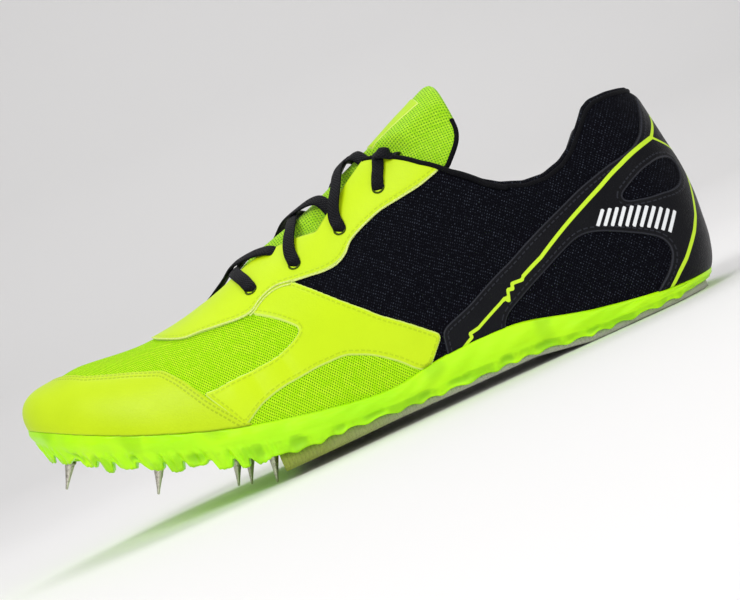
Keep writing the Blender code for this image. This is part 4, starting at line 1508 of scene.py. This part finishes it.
    def make(self, finish: Finish) -> None:
        """Builds and dresses the sheets and the pale piping on their edges."""
        toe = Patch(
            "toe_cap_sheet", Outline(self.toe), last=0.34, step=0.00068, limit=self.above_cup
        ).build()
        dress(toe, finish.toe, "neon_synthetic", "toe_cap")
        stay = Patch(
            "eyestay_sheet", Outline(self.stay), first=0.205, last=0.7, high=0.53, step=0.00062,
            base=0.0025, limit=self.inside_rim,
        ).build()
        dress(stay, finish.stay, "neon_synthetic", "eyestay")
        for side in Side:
            name = f"forefoot_wing_{side.name.lower()}"
            wing = Patch(
                name + "_sheet", Outline(self.wing), first=0.26, last=0.6, low=0.4, sides=(side,),
                limit=self.above_cup,
            ).build()
            dress(wing, finish.stay, "neon_synthetic", name)
        cage = Patch(
            "heel_cage_sheet", Outline(self.cage),
            (Outline(self.low_window), Outline(self.high_window)), first=0.57, low=0.53,
            step=0.00055, limit=self.above_cup, thickness=0.0008,
        ).build()
        self.cage_attributes(cage)
        dress(cage, finish.cage, "black_synthetic", "heel_cage")
        tubes = []
        cords = (
            (self.seam, 0.00036, 0.0034),
            (self.second_seam, 0.0003, 0.0034),
            (self.edge, 0.00036, 0.003),
        )
        for side in Side:
            tubes += [tube_on_skin(path, radius, height, side) for path, radius, height in cords]
        dress(join("pale_piping", tubes), finish.piping, "neon_synthetic")


@dataclass
class Tongue:
    """The padded tongue, its label tape and its black edge binding."""

    shares: tuple[float, ...] = (0.276, 0.34, 0.42, 0.5, 0.6, 0.75)
    halves: tuple[float, ...] = (0.2, 0.23, 0.31, 0.4, 0.45, 0.55)
    ends: Path = ((0.0, 0.731), (0.35, 0.737), (0.7, 0.731), (1.0, 0.699))
    thickness: float = 0.003
    rise: float = 0.0034
    reach: float = 0.12
    steps: int = 200
    rows: int = 140

    def lift(self, share: Array, part: Array) -> tuple[Array, Array]:
        """Returns how far across and how high the tongue's face lies.

        Args:
            share: shares of the length.
            part: from -1 at the lateral edge to 1 at the medial one.

        Returns:
            The places across and the offsets.
        """
        half, covered = self.covered(share)
        inner = 2 * part * covered
        outer = np.sign(part) * (covered + (half - covered) * (2 * np.abs(part) - 1))
        across = np.where(np.abs(part) < 0.5, inner, outer)
        return across, self.height(share, across)

    def covered(self, share: Array) -> tuple[Array, Array]:
        """Returns half the tongue's width and how far across it lies open in the throat."""
        half = Column.through(self.shares, self.halves)(share)
        covered = np.minimum(rim_across(share, -1) - 0.055, 0.75 * half)
        return half, np.maximum(covered, 0.25 * half)

    def height(self, share: Array, across: Array) -> Array:
        """Returns the offset of the tongue's face at places."""
        _, covered = self.covered(share)
        free = ease((covered - np.abs(across)) / np.minimum(0.12, covered))
        lift = -0.0006 - 0.00072 * ease((share - 0.55) / 0.08)
        lift = lift + self.rise * free * ease((share - 0.31) / 0.08)
        return lift + 0.0014 * ease((share - 0.68) / 0.05) * ease((0.4 - np.abs(across)) / 0.3)

    def place(self, along: Array, part: Array) -> tuple[Array, Array, Array]:
        """Returns the share, across and offset at a place of the tongue's own grid."""
        end = Column.through(*zip(*self.ends))(np.abs(part))
        share = self.shares[0] + (end - self.shares[0]) * along
        across, lift = self.lift(share, part)
        return share, across, lift

    def body(self) -> Piece:
        """Builds the padded body with round edges."""
        along = np.linspace(0, 1, self.steps + 1)
        part = np.linspace(-1, 1, self.rows + 1)
        j, i = np.meshgrid(along, part, indexing="ij")
        share, across, lift = self.place(j, i)
        near = np.minimum(1 - np.abs(i), (1 - j) * 2.2)
        crown = np.sqrt(np.maximum(0.0, 1 - (1 - np.clip(near / 0.07, 0, 1)) ** 2))
        thick = self.thickness * (0.75 + 0.25 * ease((1 - np.abs(i)) / 0.3))
        outer = LAST.skin(share, across, lift - thick * 0.5 * (1 - crown))
        inner = LAST.skin(share, across, lift - thick + thick * 0.45 * (1 - crown))
        flat = CHART.place(share, across).reshape(-1, 2)
        wide, total = part.size, along.size
        size = wide * total
        faces = quads(total, wide) + quads(total, wide, base=size, flip=True)
        for a in range(total - 1):
            for b in (0, wide - 1):
                here, ahead = a * wide + b, (a + 1) * wide + b
                quad = (here, ahead, size + ahead, size + here)
                faces.append(quad if b else quad[::-1])
        for b in range(wide - 1):
            for here in (b, (total - 1) * wide + b):
                faces.append((here, here + 1, size + here + 1, size + here))
        points = np.vstack([outer.reshape(-1, 3), inner.reshape(-1, 3)])
        made = lift_mesh("tongue_body", points, faces)
        write_values(made, "edge", np.tile(near.ravel() * 0.03, 2))
        write_values(made, "run", np.tile(j.ravel() * self.reach, 2))
        write_map(made, np.vstack([flat, flat]))
        face_outwards(made)
        return made

    def edge_binding(self) -> Piece:
        """Builds the binding tapes on the two sides of the tongue's free end."""
        tapes = []
        for side in Side:
            up, over, rim = np.linspace(0.76, 0.978, 80), np.linspace(0.985, 0.47, 90), 0.992
            j = np.concatenate([up, np.full(len(over), rim)])
            i = np.concatenate([np.full(len(up), rim), over]) * side.value
            share, across, lift = self.place(j, i)
            points = LAST.skin(share, across, lift - self.thickness * 0.34)
            for _ in range(12):
                points[1:-1] = (points[:-2] + points[1:-1] * 2 + points[2:]) / 4
            tapes.append(sweep(points, LAST.normal(share, across), 0.001, 0.0012, 12, 2.4))
        return join("tongue_binding", tapes)

    def label(self) -> Piece:
        """Builds the bare tape along the tongue's middle, with its pale edges."""
        along = np.linspace(0.735, 0.93, 120)
        part = np.linspace(-1, 1, 81)
        j, i = np.meshgrid(along, part, indexing="ij")
        share, _, _ = self.place(j, i * 0.3)
        across = i * (0.105 + 0.1 * (j - along[0]) / (along[-1] - along[0]))
        lift = self.height(share, across)
        ends = np.minimum(j - along[0], along[-1] - j) * self.reach
        edge = np.minimum((1 - np.abs(i)) * 0.013, ends)
        offset = lift + 0.0006 * ease(edge / 0.0006) - 0.0001
        points = LAST.skin(share, across, offset).reshape(-1, 3)
        made = lift_mesh("tongue_label", points, quads(along.size, part.size))
        for name, values in (("edge", edge), ("foot", np.ones_like(edge)), ("run", j * self.reach)):
            write_values(made, name, values.ravel())
        write_map(made, CHART.place(share, across).reshape(-1, 2))
        return made

    def make(self, finish: Finish) -> None:
        """Builds and dresses the tongue."""
        body = dress(self.body(), finish.tongue, "tongue_fabric", "tongue")
        dress(self.edge_binding(), finish.binding, "black_lining")
        dress(self.label(), finish.label, "tongue_fabric")


@dataclass
class Laces:
    """The flat braided lace, run through its eyelets, and the eyelets' edges."""

    half_width: float = 0.0026
    half_thickness: float = 0.0007
    top: float = 0.0041
    step: float = 0.0007
    eyelet: float = 0.00225
    lateral: Path = ((0.379, 0.36), (0.448, 0.392), (0.526, 0.398), (0.599, 0.384))
    medial: Path = ((0.288, 0.23), (0.4, 0.35), (0.5, 0.385), (0.597, 0.38))
    first: Rows = (
        (0.285, 0.245, 0.0012), (0.288, 0.23, 0.0036), (0.298, 0.19, 0.0043),
        (0.324, 0.105, 0.0043), (0.35, 0.035, 0.0047), (0.3675, -0.025, 0.0056),
        (0.388, -0.095, 0.005), (0.41, -0.165, 0.0045), (0.424, -0.212, 0.004),
        (0.4345, -0.248, 0.0014), (0.443, -0.295, -0.0006),
    )
    leaning: Rows = (
        (0.377, -0.31, 0.0043), (0.37, -0.205, 0.0042), (0.3655, -0.09, 0.0041),
        (0.369, 0.06, 0.0042),
    )
    rise: Rows = (
        (-0.002, 0.016, 0.001), (0.0, 0.0, 0.0036), (0.006, -0.034, 0.0043),
        (0.013, -0.066, 0.0044), (0.0185, -0.1, 0.0046), (0.0225, -0.134, 0.004),
        (0.025, -0.162, 0.0012), (0.026, -0.18, -0.0012),
    )
    bar: Rows = (
        (0.615, 0.19, -0.0014), (0.6165, 0.222, 0.0014), (0.619, 0.256, 0.0046),
        (0.624, 0.282, 0.0059), (0.6305, 0.303, 0.0056), (0.6355, 0.316, 0.0038),
        (0.6375, 0.306, 0.0006), (0.637, 0.286, -0.0034),
    )

    def strand(self, path: Rows) -> Piece:
        """Builds one strand through places that carry their own height."""
        rows = np.array(path, float)
        points = LAST.skin(rows[:, 0], rows[:, 1], rows[:, 2])
        run = run_of(points)
        at = np.linspace(0, run[-1], max(12, int(run[-1] / self.step)))
        line = np.stack([Column.through(run, points[:, k])(at) for k in range(3)], axis=1)
        places = np.stack([Column.through(run, rows[:, k])(at) for k in range(2)], axis=1)
        normals = LAST.normal(places[:, 0], places[:, 1])
        return sweep(line, normals, self.half_width, self.half_thickness, 16, 2.6)

    def crossing(
        self, start: tuple[float, float], end: tuple[float, float], side: Side, over: float = 0.0
    ) -> list[tuple[float, float, float]]:
        """Returns the places of a strand from an eyelet over the throat to under the far edge.

        Args:
            start: the eyelet that it comes out of.
            end: the eyelet on the other side that it goes to.
            side: the side of its start.
            over: extra height where it crosses another strand.

        Returns:
            Rows of share, across and offset.
        """
        from_side, to_side = side.value, -side.value
        edge = float(rim_across(np.array(end[0]), to_side))
        rows = [
            (start[0] - 0.004, from_side * (start[1] + 0.012), 0.0012),
            (start[0], from_side * start[1], 0.0036),
            (start[0] + 0.001, from_side * (start[1] - 0.055), self.top + 0.0003),
        ]
        for t in (0.35, 0.5, 0.65):
            share = start[0] + (end[0] - start[0]) * t
            across = from_side * start[1] + (to_side * edge - from_side * start[1]) * t
            rows.append((share, across, self.top + 0.0003 + over * math.sin(math.pi * t)))
        return rows + [
            (end[0] - 0.006, to_side * (edge - 0.085), self.top + 0.0002),
            (end[0] - 0.002, to_side * (edge - 0.02), 0.0022),
            (end[0], to_side * (edge + 0.055), -0.0004),
        ]

    def eyelets(self) -> Piece:
        """Builds the pressed edge of every eyelet."""
        rings = []
        for side, places in ((Side.LATERAL, self.lateral), (Side.MEDIAL, self.medial)):
            for share, across in places:
                at = (np.array(share), np.array(side.value * across))
                centre, normal = LAST.skin(*at, 0.00345), LAST.normal(*at)
                turn = np.arange(25) * 2 * math.pi / 24
                way = unit(np.cross(normal, [0.0, 0.0, 1.0]))
                other = np.cross(normal, way)
                ring = np.cos(turn)[:, None] * way + np.sin(turn)[:, None] * other
                circle = centre + self.eyelet * ring
                rings.append(sweep(circle, np.repeat(normal[None], 25, axis=0), 0.00045, 0.0003, 8))
        return join("eyelet_edges", rings)

    def make(self, finish: Finish) -> None:
        """Builds and dresses the laces and the eyelets."""
        lateral, medial, lift = self.lateral, self.medial, 0.0014
        strands = [self.strand(self.first)]
        leaning = self.crossing(lateral[0], medial[1], Side.LATERAL)
        leaning[2:6] = self.leaning
        strands.append(self.strand(leaning))
        for k, over in ((1, 0.0), (2, lift)):
            for path in (
                self.crossing(lateral[k], medial[k + 1], Side.LATERAL, over),
                self.crossing(medial[k], lateral[k + 1], Side.MEDIAL, lift - over),
            ):
                strands.append(self.strand(path))
        for side, (share, across) in ((Side.LATERAL, lateral[3]), (Side.MEDIAL, medial[3])):
            rise = [(share + s, across + a, height) for s, a, height in self.rise]
            for path in (rise, self.bar):
                strands.append(self.strand([(s, side.value * a, height) for s, a, height in path]))
        dress(join("lace", strands), finish.lace, "black_lace", "laces")
        dress(self.eyelets(), finish.eyelet, "neon_synthetic")


class Sole:
    """The moulding that cups the upper, its teeth and bosses, the outsole and the insole."""

    SHARES = (
        0.0, 0.1, 0.2, 0.27, 0.305, 0.32, 0.34, 0.36, 0.42, 0.5, 0.57, 0.69, 0.76, 0.82, 0.9, 1.0,
    )
    CUP = (0.92, 1.05, 1.0, 1.0, 1.0, 1.0, 0.98, 0.95, 0.85, 0.78, 1.22, 1.35, 1.02, 0.75, 0.4, 0.3)
    PLATE = (
        0.95, 1.0, 1.1, 1.3, 1.6, 1.7, 1.58, 1.45, 0.85, 0.75, 0.9, 0.9, 0.75, 0.55, 0.45, 0.42,
    )
    TEETH = (1.0, 1.0, 1.0, 1.0, 0.8, 0.1) + (0.0,) * 10
    BELLY = (0.0, 0.8, 1.0, 0.8, 0.2) + (0.0,) * 11
    OUT_SHARES = (0.325, 0.5, 0.62, 0.7, 0.75, 0.785, 1.0)
    OUT_LOW = (0.68, 0.8, 0.72, 0.72, 0.3, 0.0, 0.0)
    CUP_HEIGHT = 0.006
    PLATE_DEPTH = 0.004
    BELLY_DEPTH = 0.0022
    OUT_DEPTH = 0.005
    STUD = 0.0009
    STUD_PITCH = 0.0115
    PITCH = 0.0082
    DEPTH = 0.0042
    GAP = 0.0003
    RIDGE = 0.0005
    BOWL = 0.0009
    WALL = 0.0018
    CUP_WALL = 0.0016
    HOLLOWS = (
        (0.068, 0.0026), (0.145, 0.0018), (0.222, 0.0032), (0.305, 0.0018), (0.357, 0.0034),
        (0.415, 0.0022), (0.463, 0.0046), (0.535, 0.0026), (0.588, 0.0052), (0.66, 0.0024),
        (0.715, 0.004), (0.79, 0.003),
    )
    SCALLOP = 0.0015

    def underside(self, share: Array) -> Array:
        """Returns the height of the plate underneath."""
        plate = self.PLATE_DEPTH * Column.through(self.SHARES, self.PLATE)(share)
        return LAST.bed(share) - self.GAP - plate

    def tooth(self, share: Array, side: int) -> Array:
        """Returns the depth of the teeth along the plate's edge, irregular and rounded."""
        amount = Column.through(self.SHARES, self.TEETH)(share) * ease(share / 0.012)
        travel = share * LAST.length / self.PITCH + (0.35 if side > 0 else 0.0)
        travel = travel + 0.16 * np.sin(travel * 2.1 + side) + 0.07 * np.sin(travel * 5.3)
        count = np.floor(travel)
        phase = travel - count
        peak = 0.5 + 0.05 * np.sin(count * 3.7)
        ramp = np.where(phase < peak, phase / peak, (1 - phase) / (1 - peak))
        shape = ease(np.clip(ramp * 2.3 - 0.25, 0.0, 1.0))
        varied = 0.74 + 0.24 * np.cos(count * 2.3 + 0.6 * side)
        notch = 0.12 * np.clip(np.sin(travel * 12.6 + side), 0.0, 1.0) ** 2
        notch = notch + 0.06 * np.sin(travel * 31.0)
        teeth = self.DEPTH * np.clip(amount, 0, 1) * shape * (varied + 0.12 - notch * shape)
        span = ease((share - 0.335) / 0.02) * ease((0.965 - share) / 0.03)
        beat = 0.5 + 0.5 * np.sin(share * 172 + 0.9 * np.sin(share * 47) + side)
        return teeth + self.SCALLOP * span * (0.25 + 0.75 * beat**1.6)

    def wave(self, share: Array, level: float) -> Array:
        """Returns the shallow lumps of the cup's side wall."""
        front = ease((0.5 - share) / 0.2)
        lumps = np.sin(share * 205 + 1.3) * 0.5 + np.sin(share * 118 + 0.4 + level) * 0.5
        facets = np.sin(share * 96 + level * 1.9) * np.sin(share * 41 + level * 0.8)
        rear = 0.00016 * np.sin(share * 63 + level * 2) + 0.00034 * (1 - front) * facets
        return 0.0004 * front * lumps + rear

    def side_wall(self, shares: Array, side: Side) -> tuple[list[Array], list[Array]]:
        """Returns the columns of points of one side, from the cup's inside round to the teeth.

        Args:
            shares: shares of the length.
            side: the side.

        Returns:
            The columns, and how much painted shade each of their points takes.
        """
        hidden, steps, down = 4, 9, 8
        inner = self.WALL + self.GAP
        top = LAST.across_at(shares, cup_height(shares))
        zero = np.zeros_like(shares)
        column = []
        for k in range(hidden + 1):
            across = side.value * (1 + (top - 1) * (k / hidden))
            column.append(LAST.skin(shares, across, inner))
        lip = LAST.skin(shares, side.value * top * 0.997, inner + self.CUP_WALL * 0.45)
        lip[:, 2] += 0.0004
        column.append(lip)
        for k in range(steps + 1):
            t = k / steps
            across = side.value * (top + (1 - top) * t)
            round_top = 0.65 + 0.35 * ease(t / 0.5)
            offset = inner + self.CUP_WALL * round_top + self.wave(shares, t * 2)
            offset = offset + 0.0004 * ease((t - 0.35) / 0.65)
            column.append(LAST.wall(shares, across, offset, 1 - float(ease(t / 0.4))))
        dark = [zero] * len(column)
        travel = np.interp(shares, CHART.shares, CHART.along)
        beat = travel * (2 * math.pi / 0.0043) + 1.1 * np.sin(travel * (2 * math.pi / 0.0127))
        dents = zero
        for place, reach in self.HOLLOWS:
            dents = dents + np.exp(-(((shares - place) * LAST.length / reach) ** 4))
        floor = LAST.bed(shares) - self.GAP
        deep = self.underside(shares) - self.tooth(shares, side.value)
        edge = column[-1].copy()
        edge[:, 2] = floor
        low = LAST.skin(shares, side.value, inner + self.CUP_WALL * 0.35)
        way = low - LAST.skin(shares, side.value, 0.0)
        way = (way / np.maximum(np.linalg.norm(way, axis=1, keepdims=True), 1e-9))[:, :2]
        for k in range(1, down + 1):
            t = k / down
            point = edge + (low - edge) * ease(t)
            point[:, 2] = floor + (deep - floor) * t
            bowl = dents * math.sin(math.pi * min(t * 1.05, 1.0)) ** 2
            ridge = np.sin(beat) * ease((0.36 - shares) / 0.05) * math.sin(math.pi * t)
            point[:, :2] += way * (self.RIDGE * ridge - self.BOWL * bowl)[:, None]
            column.append(point)
            # painted shade: a little on the whole toothed edge under the cup, and more in the bowls
            # of the dents
            dark.append(0.15 * float(ease(t * 3)) + 0.55 * bowl)
        return column, dark

    def loops(self, shares: Array) -> tuple[Array, Array]:
        """Returns the rings of the moulding's section and the painted shade of each point."""
        under, floor = self.underside(shares), LAST.bed(shares) - self.GAP
        left, left_dark = self.side_wall(shares, Side.LATERAL)
        right, right_dark = self.side_wall(shares, Side.MEDIAL)
        belly = self.BELLY_DEPTH * Column.through(self.SHARES, self.BELLY)(shares)
        fade = ease((0.335 - shares) / 0.03) * ease((shares - 0.02) / 0.03)
        border = np.array((0.03, 0.06, 0.09, 0.12, 0.153))
        middle = []
        for t in (*border, *np.linspace(0.18, 0.82, 37), *(1 - border[::-1])):
            point = left[-1] + (right[-1] - left[-1]) * t
            near = min(t, 1 - t)
            side = Side.LATERAL if t < 0.5 else Side.MEDIAL
            hang = self.tooth(shares, side.value) * float(ease((0.15 - near) / 0.07))
            both_ways = (point[:, 0] + point[:, 1], point[:, 0] - point[:, 1])
            waves = [np.sin(way * (math.pi / self.STUD_PITCH)) for way in both_ways]
            bumps = np.abs(waves[0] * waves[1])
            bumps = self.STUD * bumps * fade * float(ease((near - 0.13) / 0.05))
            point[:, 2] = under - belly * math.sin(math.pi * t) - hang - bumps
            middle.append(point)
        first, last = right[0].copy(), left[0].copy()
        first[:, 2] = last[:, 2] = floor
        beds = [first + (last - first) * t for t in np.linspace(0.0, 1.0, 5)]
        zero = np.zeros_like(shares)
        painted_shade = left_dark + [zero] * len(middle) + right_dark[::-1] + [zero] * len(beds)
        return np.stack(left + middle + right[::-1] + beds, axis=1), np.stack(painted_shade, axis=1)

    @staticmethod
    def between(shares: Array, offset: float) -> Callable[[float], Array]:
        """Returns the line across the foot on the feather line, as a function of 0 to 1."""
        left, right = (LAST.skin(shares, side.value, offset) for side in Side)
        return lambda t: left + (right - left) * t

    @staticmethod
    def ring_mesh(name: str, rings: Array) -> Piece:
        """Builds a skin through rings of points, open at its two ends."""
        return lift_mesh(name, rings.reshape(-1, 3), quads(*rings.shape[:2], ring=True))

    def moulding(self) -> Piece:
        """Builds the moulding with its bosses."""
        waist = LAST.along_of(0.36)
        along = np.concatenate([np.linspace(0, waist, 420), np.linspace(waist, 1, 260)])
        shares = np.unique(LAST.share_of(along))
        shares[0], shares[-1] = 0.0, 1.0
        rings, painted_shade = self.loops(shares)
        made = self.ring_mesh("sole_body", rings)
        write_values(made, "painted_shade", painted_shade.ravel())
        weld(made, 1e-6)
        face_outwards(made)
        return join("sole_moulding", [made] + [Pins.boss(pin, self) for pin in Pins.ROWS])

    def outsole(self) -> Piece:
        """Builds the thin sheet under the midfoot and the heel, with softened edges."""
        shares = LAST.share_of(np.linspace(LAST.along_of(0.325), 1, 460))
        shares[-1] = 1.0
        line = self.between(shares, self.WALL + self.GAP + self.CUP_WALL * 0.35 - 0.002)
        top = self.underside(shares) - 0.0001
        low = self.OUT_DEPTH * np.interp(shares, self.OUT_SHARES, self.OUT_LOW)
        edges = ((0.0, 0.0), (0.0, 0.5), (0.004, 0.8), (0.012, 0.95), (0.03, 1.0))
        rows = []

        def add(t: float, height: Array) -> None:
            point = line(t)
            point[:, 2] = height
            rows.append(point)

        for t, drop in edges:
            add(t, top + (low - top) * drop)
        for t in np.linspace(0.06, 0.94, 45):
            zigzag = abs(((t * 5) % 1) - 0.5) * 0.01
            beat = np.abs((((line(t)[:, 0] + zigzag) / 0.0085) % 1) - 0.5)
            fade = float(ease((min(t, 1 - t) - 0.05) / 0.05))
            fade = fade * ease((shares - 0.34) / 0.01) * ease((0.985 - shares) / 0.01)
            add(t, low + 0.0009 * ease((beat - 0.32) / 0.1) * fade)
        for t, drop in edges[::-1]:
            add(1 - t, top + (low - top) * drop)
        add(0.5, top)
        made = self.ring_mesh("outsole_sheet", np.stack(rows, axis=1))
        close_ends(made)
        weld(made)
        face_outwards(made)
        return made

    def insole(self) -> Piece:
        """Builds the insole, dished a little under the foot."""
        shares = LAST.share_of(np.linspace(0.004, 0.996, 200))
        line = self.between(shares, -0.0006)
        low = LAST.bed(shares)
        rows, flats = [], []
        upper, under = np.linspace(0, 1, 41), np.linspace(1, 0, 9)
        for k, t in enumerate((*upper, *under)):
            point = line(t)
            point[:, 2] = low
            if k < len(upper):
                rim = min(t, 1 - t)
                lip, fall = (float(ease((width - rim) / width)) for width in (0.12, 0.015))
                point[:, 2] = low + 0.0021 + 0.0012 * lip - 0.001 * fall
            rows.append(point)
            across = np.full_like(shares, (t - 0.5) * 0.08)
            flats.append(np.stack([shares * LAST.length, across], axis=1))
        made = self.ring_mesh("insole_sheet", np.stack(rows, axis=1))
        write_map(made, np.stack(flats, axis=1).reshape(-1, 2))
        close_ends(made)
        face_outwards(made)
        return made

    def make(self, finish: Finish) -> None:
        """Builds and dresses the sole's pieces."""
        dress(self.moulding(), finish.sole, "neon_moulding", "sole")
        dress(self.outsole(), finish.outsole, "grey_rubber", "outsole")
        dress(self.insole(), finish.insole, "black_lining", "insole")


class Pins:
    """The screw-in steel pins."""

    LENGTH = 0.012
    RADIUS = 0.0025
    TIP = 0.0004
    BOSS = 0.0046
    ROWS = (
        ("pin_toe", 0.037, -0.057, 31.7, 0.26, False),
        ("pin_lateral_mid", 0.162, -0.29, 24.9, 0.18, False),
        ("pin_medial_mid", 0.145, 0.31, 25.0, 0.1, False),
        ("pin_centre", 0.254, 0.0, 19.5, 0.29, False),
        ("pin_lateral_rear", 0.313, -0.29, 14.9, 0.0, True),
        ("pin_medial_rear", 0.264, 0.23, 19.0, 0.0, True),
    )

    @classmethod
    def place(cls, row: tuple, sole: Sole) -> Matrix:
        """Returns the frame of a pin: its seat, with +Z to its tip."""
        _, share, beside, tilt, drop, standing = row
        turn = math.radians(tilt)
        x = (share - 0.5) * LAST.length + LAST.root[0]
        y = beside * LAST.ball_width + LAST.root[1]
        if standing:
            z = cls.LENGTH * math.cos(turn) + cls.TIP * math.sin(turn)
        else:
            z = float(sole.underside(np.array(share))) - cls.LENGTH * drop
        return Matrix.Translation((x, y, z)) @ Matrix.Rotation(math.pi + turn, 4, "Y")

    @staticmethod
    def turned(name: str, profile: Path, place: Matrix, count: int = 32) -> Piece:
        """Turns a profile of distance and radius round the pin's axis.

        Args:
            name: the name of the piece.
            profile: rows of distance along the axis and radius.
            place: the frame of the pin.
            count: corners of each ring.

        Returns:
            The closed piece, with the attribute run along its axis.
        """
        angles = np.arange(count) * 2 * math.pi / count
        points = []
        for distance, radius in profile:
            for angle in angles:
                way = Vector((radius * math.cos(angle), radius * math.sin(angle), distance))
                points.append(tuple(place @ way))
        total = len(profile)
        faces = quads(total, count, ring=True)
        faces.append(tuple(range(count))[::-1])
        faces.append(tuple(range((total - 1) * count, total * count)))
        made = lift_mesh(name, np.array(points), faces)
        write_values(made, "run", np.repeat([distance for distance, _ in profile], count))
        face_outwards(made)
        return made

    @classmethod
    def boss(cls, row: tuple, sole: Sole) -> Piece:
        """Builds the rounded boss that carries a pin, with its foot spread into the plate."""
        place = cls.place(row, sole)
        depth = float(sole.underside(np.array(row[1]))) - place.translation.z + 0.002
        reach = max(0.0034, depth)
        wide = cls.BOSS
        profile = (
            (-reach, wide * 1.3), (-reach * 0.7, wide * 1.18), (-reach * 0.35, wide * 1.06),
            (-0.0008, wide), (-0.0003, wide * 0.97), (0.0, wide * 0.9), (0.0, 0.0031),
            (-0.001, 0.003),
        )
        made = cls.turned("boss", profile, place)
        # painted shade: the boss takes a small share of the sole's painted shade
        write_values(made, "painted_shade", np.full(len(made.data.vertices), 0.25))
        return made

    def make(self, finish: Finish, sole: Sole) -> None:
        """Builds and dresses the pins."""
        flange, shank = self.RADIUS, self.LENGTH
        profile = (
            (-0.0026, 0.0014), (-0.0022, 0.0017), (0.0003, 0.0017), (0.00035, flange * 0.94),
            (0.0006, flange), (shank * 0.11, flange), (shank * 0.13, flange * 0.96),
            (shank * 0.16, flange * 0.82), (shank * 0.18, flange * 0.8),
            (shank * 0.5, flange * 0.51), (shank * 0.8, flange * 0.28),
            (shank * 0.97, self.TIP * 1.25), (shank * 0.992, self.TIP), (shank, self.TIP * 0.55),
        )
        for row in self.ROWS:
            made = self.turned(row[0] + "_steel", profile, self.place(row, sole))
            made.data.shade_smooth()
            dress(made, finish.steel, "pin_steel", row[0])


# ---- studio


@dataclass(frozen=True)
class Studio:
    """The camera at the photograph's angle, the pale floor and the soft lights."""

    lens: float = 78.7
    sensor: float = 36.0
    eye: tuple[float, float, float] = (0.00619, -0.65067, 0.0496)
    roll: float = 24.2
    floor: Colour = (0.86, 0.85, 0.85)
    world: float = 0.47
    wide: float = 2.4
    curve: Path = (
        (-1.2, 0.0), (0.5, 0.0), (0.9, 0.02), (1.2, 0.12), (1.4, 0.35), (1.5, 0.8), (1.52, 2.2),
    )
    lights: tuple[tuple, ...] = (
        ("key", (-0.55, -0.8, 1.05), (0.0, 0.0, 0.05), 0.7, 7.4),
        ("fill", (0.85, -0.85, 0.45), (0.03, 0.0, 0.05), 0.9, 3.0),
        ("top", (0.1, 0.35, 1.25), (0.0, 0.0, 0.05), 0.8, 5.5),
        ("low", (-0.1, -1.0, 0.12), (0.0, 0.0, 0.03), 0.6, 1.4),
    )

    def camera(self) -> None:
        """Sets the camera, rolled as the photograph shows the shoe."""
        data = bpy.data.cameras.new("camera")
        data.lens, data.sensor_width, data.sensor_fit = self.lens, self.sensor, "HORIZONTAL"
        data.clip_start, data.clip_end = 0.01, 20.0
        camera = bpy.data.objects.new("camera", data)
        bpy.context.scene.collection.objects.link(camera)
        turn = math.radians(self.roll)
        right = Vector((math.cos(turn), 0.0, -math.sin(turn)))
        up = Vector((math.sin(turn), 0.0, math.cos(turn)))
        back = right.cross(up)
        frame = Matrix((right, up, back)).transposed().to_4x4()
        frame.translation = Vector(self.eye)
        camera.matrix_world = frame
        bpy.context.scene.camera = camera

    def ground(self) -> None:
        """Lays the floor, curved up far behind the shoe."""
        points = [(x, y, z - 0.0001) for y, z in self.curve for x in (-self.wide, self.wide)]
        steps = range(len(self.curve) - 1)
        faces = [(2 * i, 2 * i + 1, 2 * i + 3, 2 * i + 2) for i in steps]
        made = lift_mesh("floor", np.array(points), faces)
        shader = Shader("floor_paper")
        dust = shader.noise(6.0, 2.0)
        colour = shader.mix(dust * 0.15, self.floor, tuple(v * 0.96 for v in self.floor))
        shader.feed(Base_Color=colour, Roughness=0.9)
        made.data.materials.append(shader.material)

    @staticmethod
    def light(name: str, at: Colour, aim: Colour, size: float, power: float) -> None:
        """Adds one soft area light."""
        data = bpy.data.lights.new(name, "AREA")
        data.shape, data.size, data.energy = "DISK", size, power
        made = bpy.data.objects.new(name, data)
        bpy.context.scene.collection.objects.link(made)
        made.location = at
        made.rotation_euler = (Vector(aim) - Vector(at)).to_track_quat("-Z", "Y").to_euler()

    def make(self) -> None:
        """Builds the studio."""
        self.ground()
        for row in self.lights:
            self.light(*row)
        world = bpy.data.worlds.new("studio")
        world.use_nodes = True
        background = world.node_tree.nodes["Background"]
        background.inputs[0].default_value = (1.0, 1.0, 1.0, 1.0)
        background.inputs[1].default_value = self.world
        bpy.context.scene.world = world
        bpy.context.scene.view_settings.view_transform = "Standard"


def main() -> None:
    """Builds the dressed shoe in its studio."""
    logging.basicConfig(level=logging.INFO, format="%(message)s")
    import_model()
    bpy.ops.object.select_all(action="DESELECT")
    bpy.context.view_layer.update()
    studio = Studio()
    studio.camera()
    finish = Finish()
    sole = Sole()
    sole.make(finish)
    Pins().make(finish, sole)
    Upper().make(finish)
    Overlays().make(finish)
    Tongue().make(finish)
    Laces().make(finish)
    studio.make()


if __name__ == "__main__":
    main()
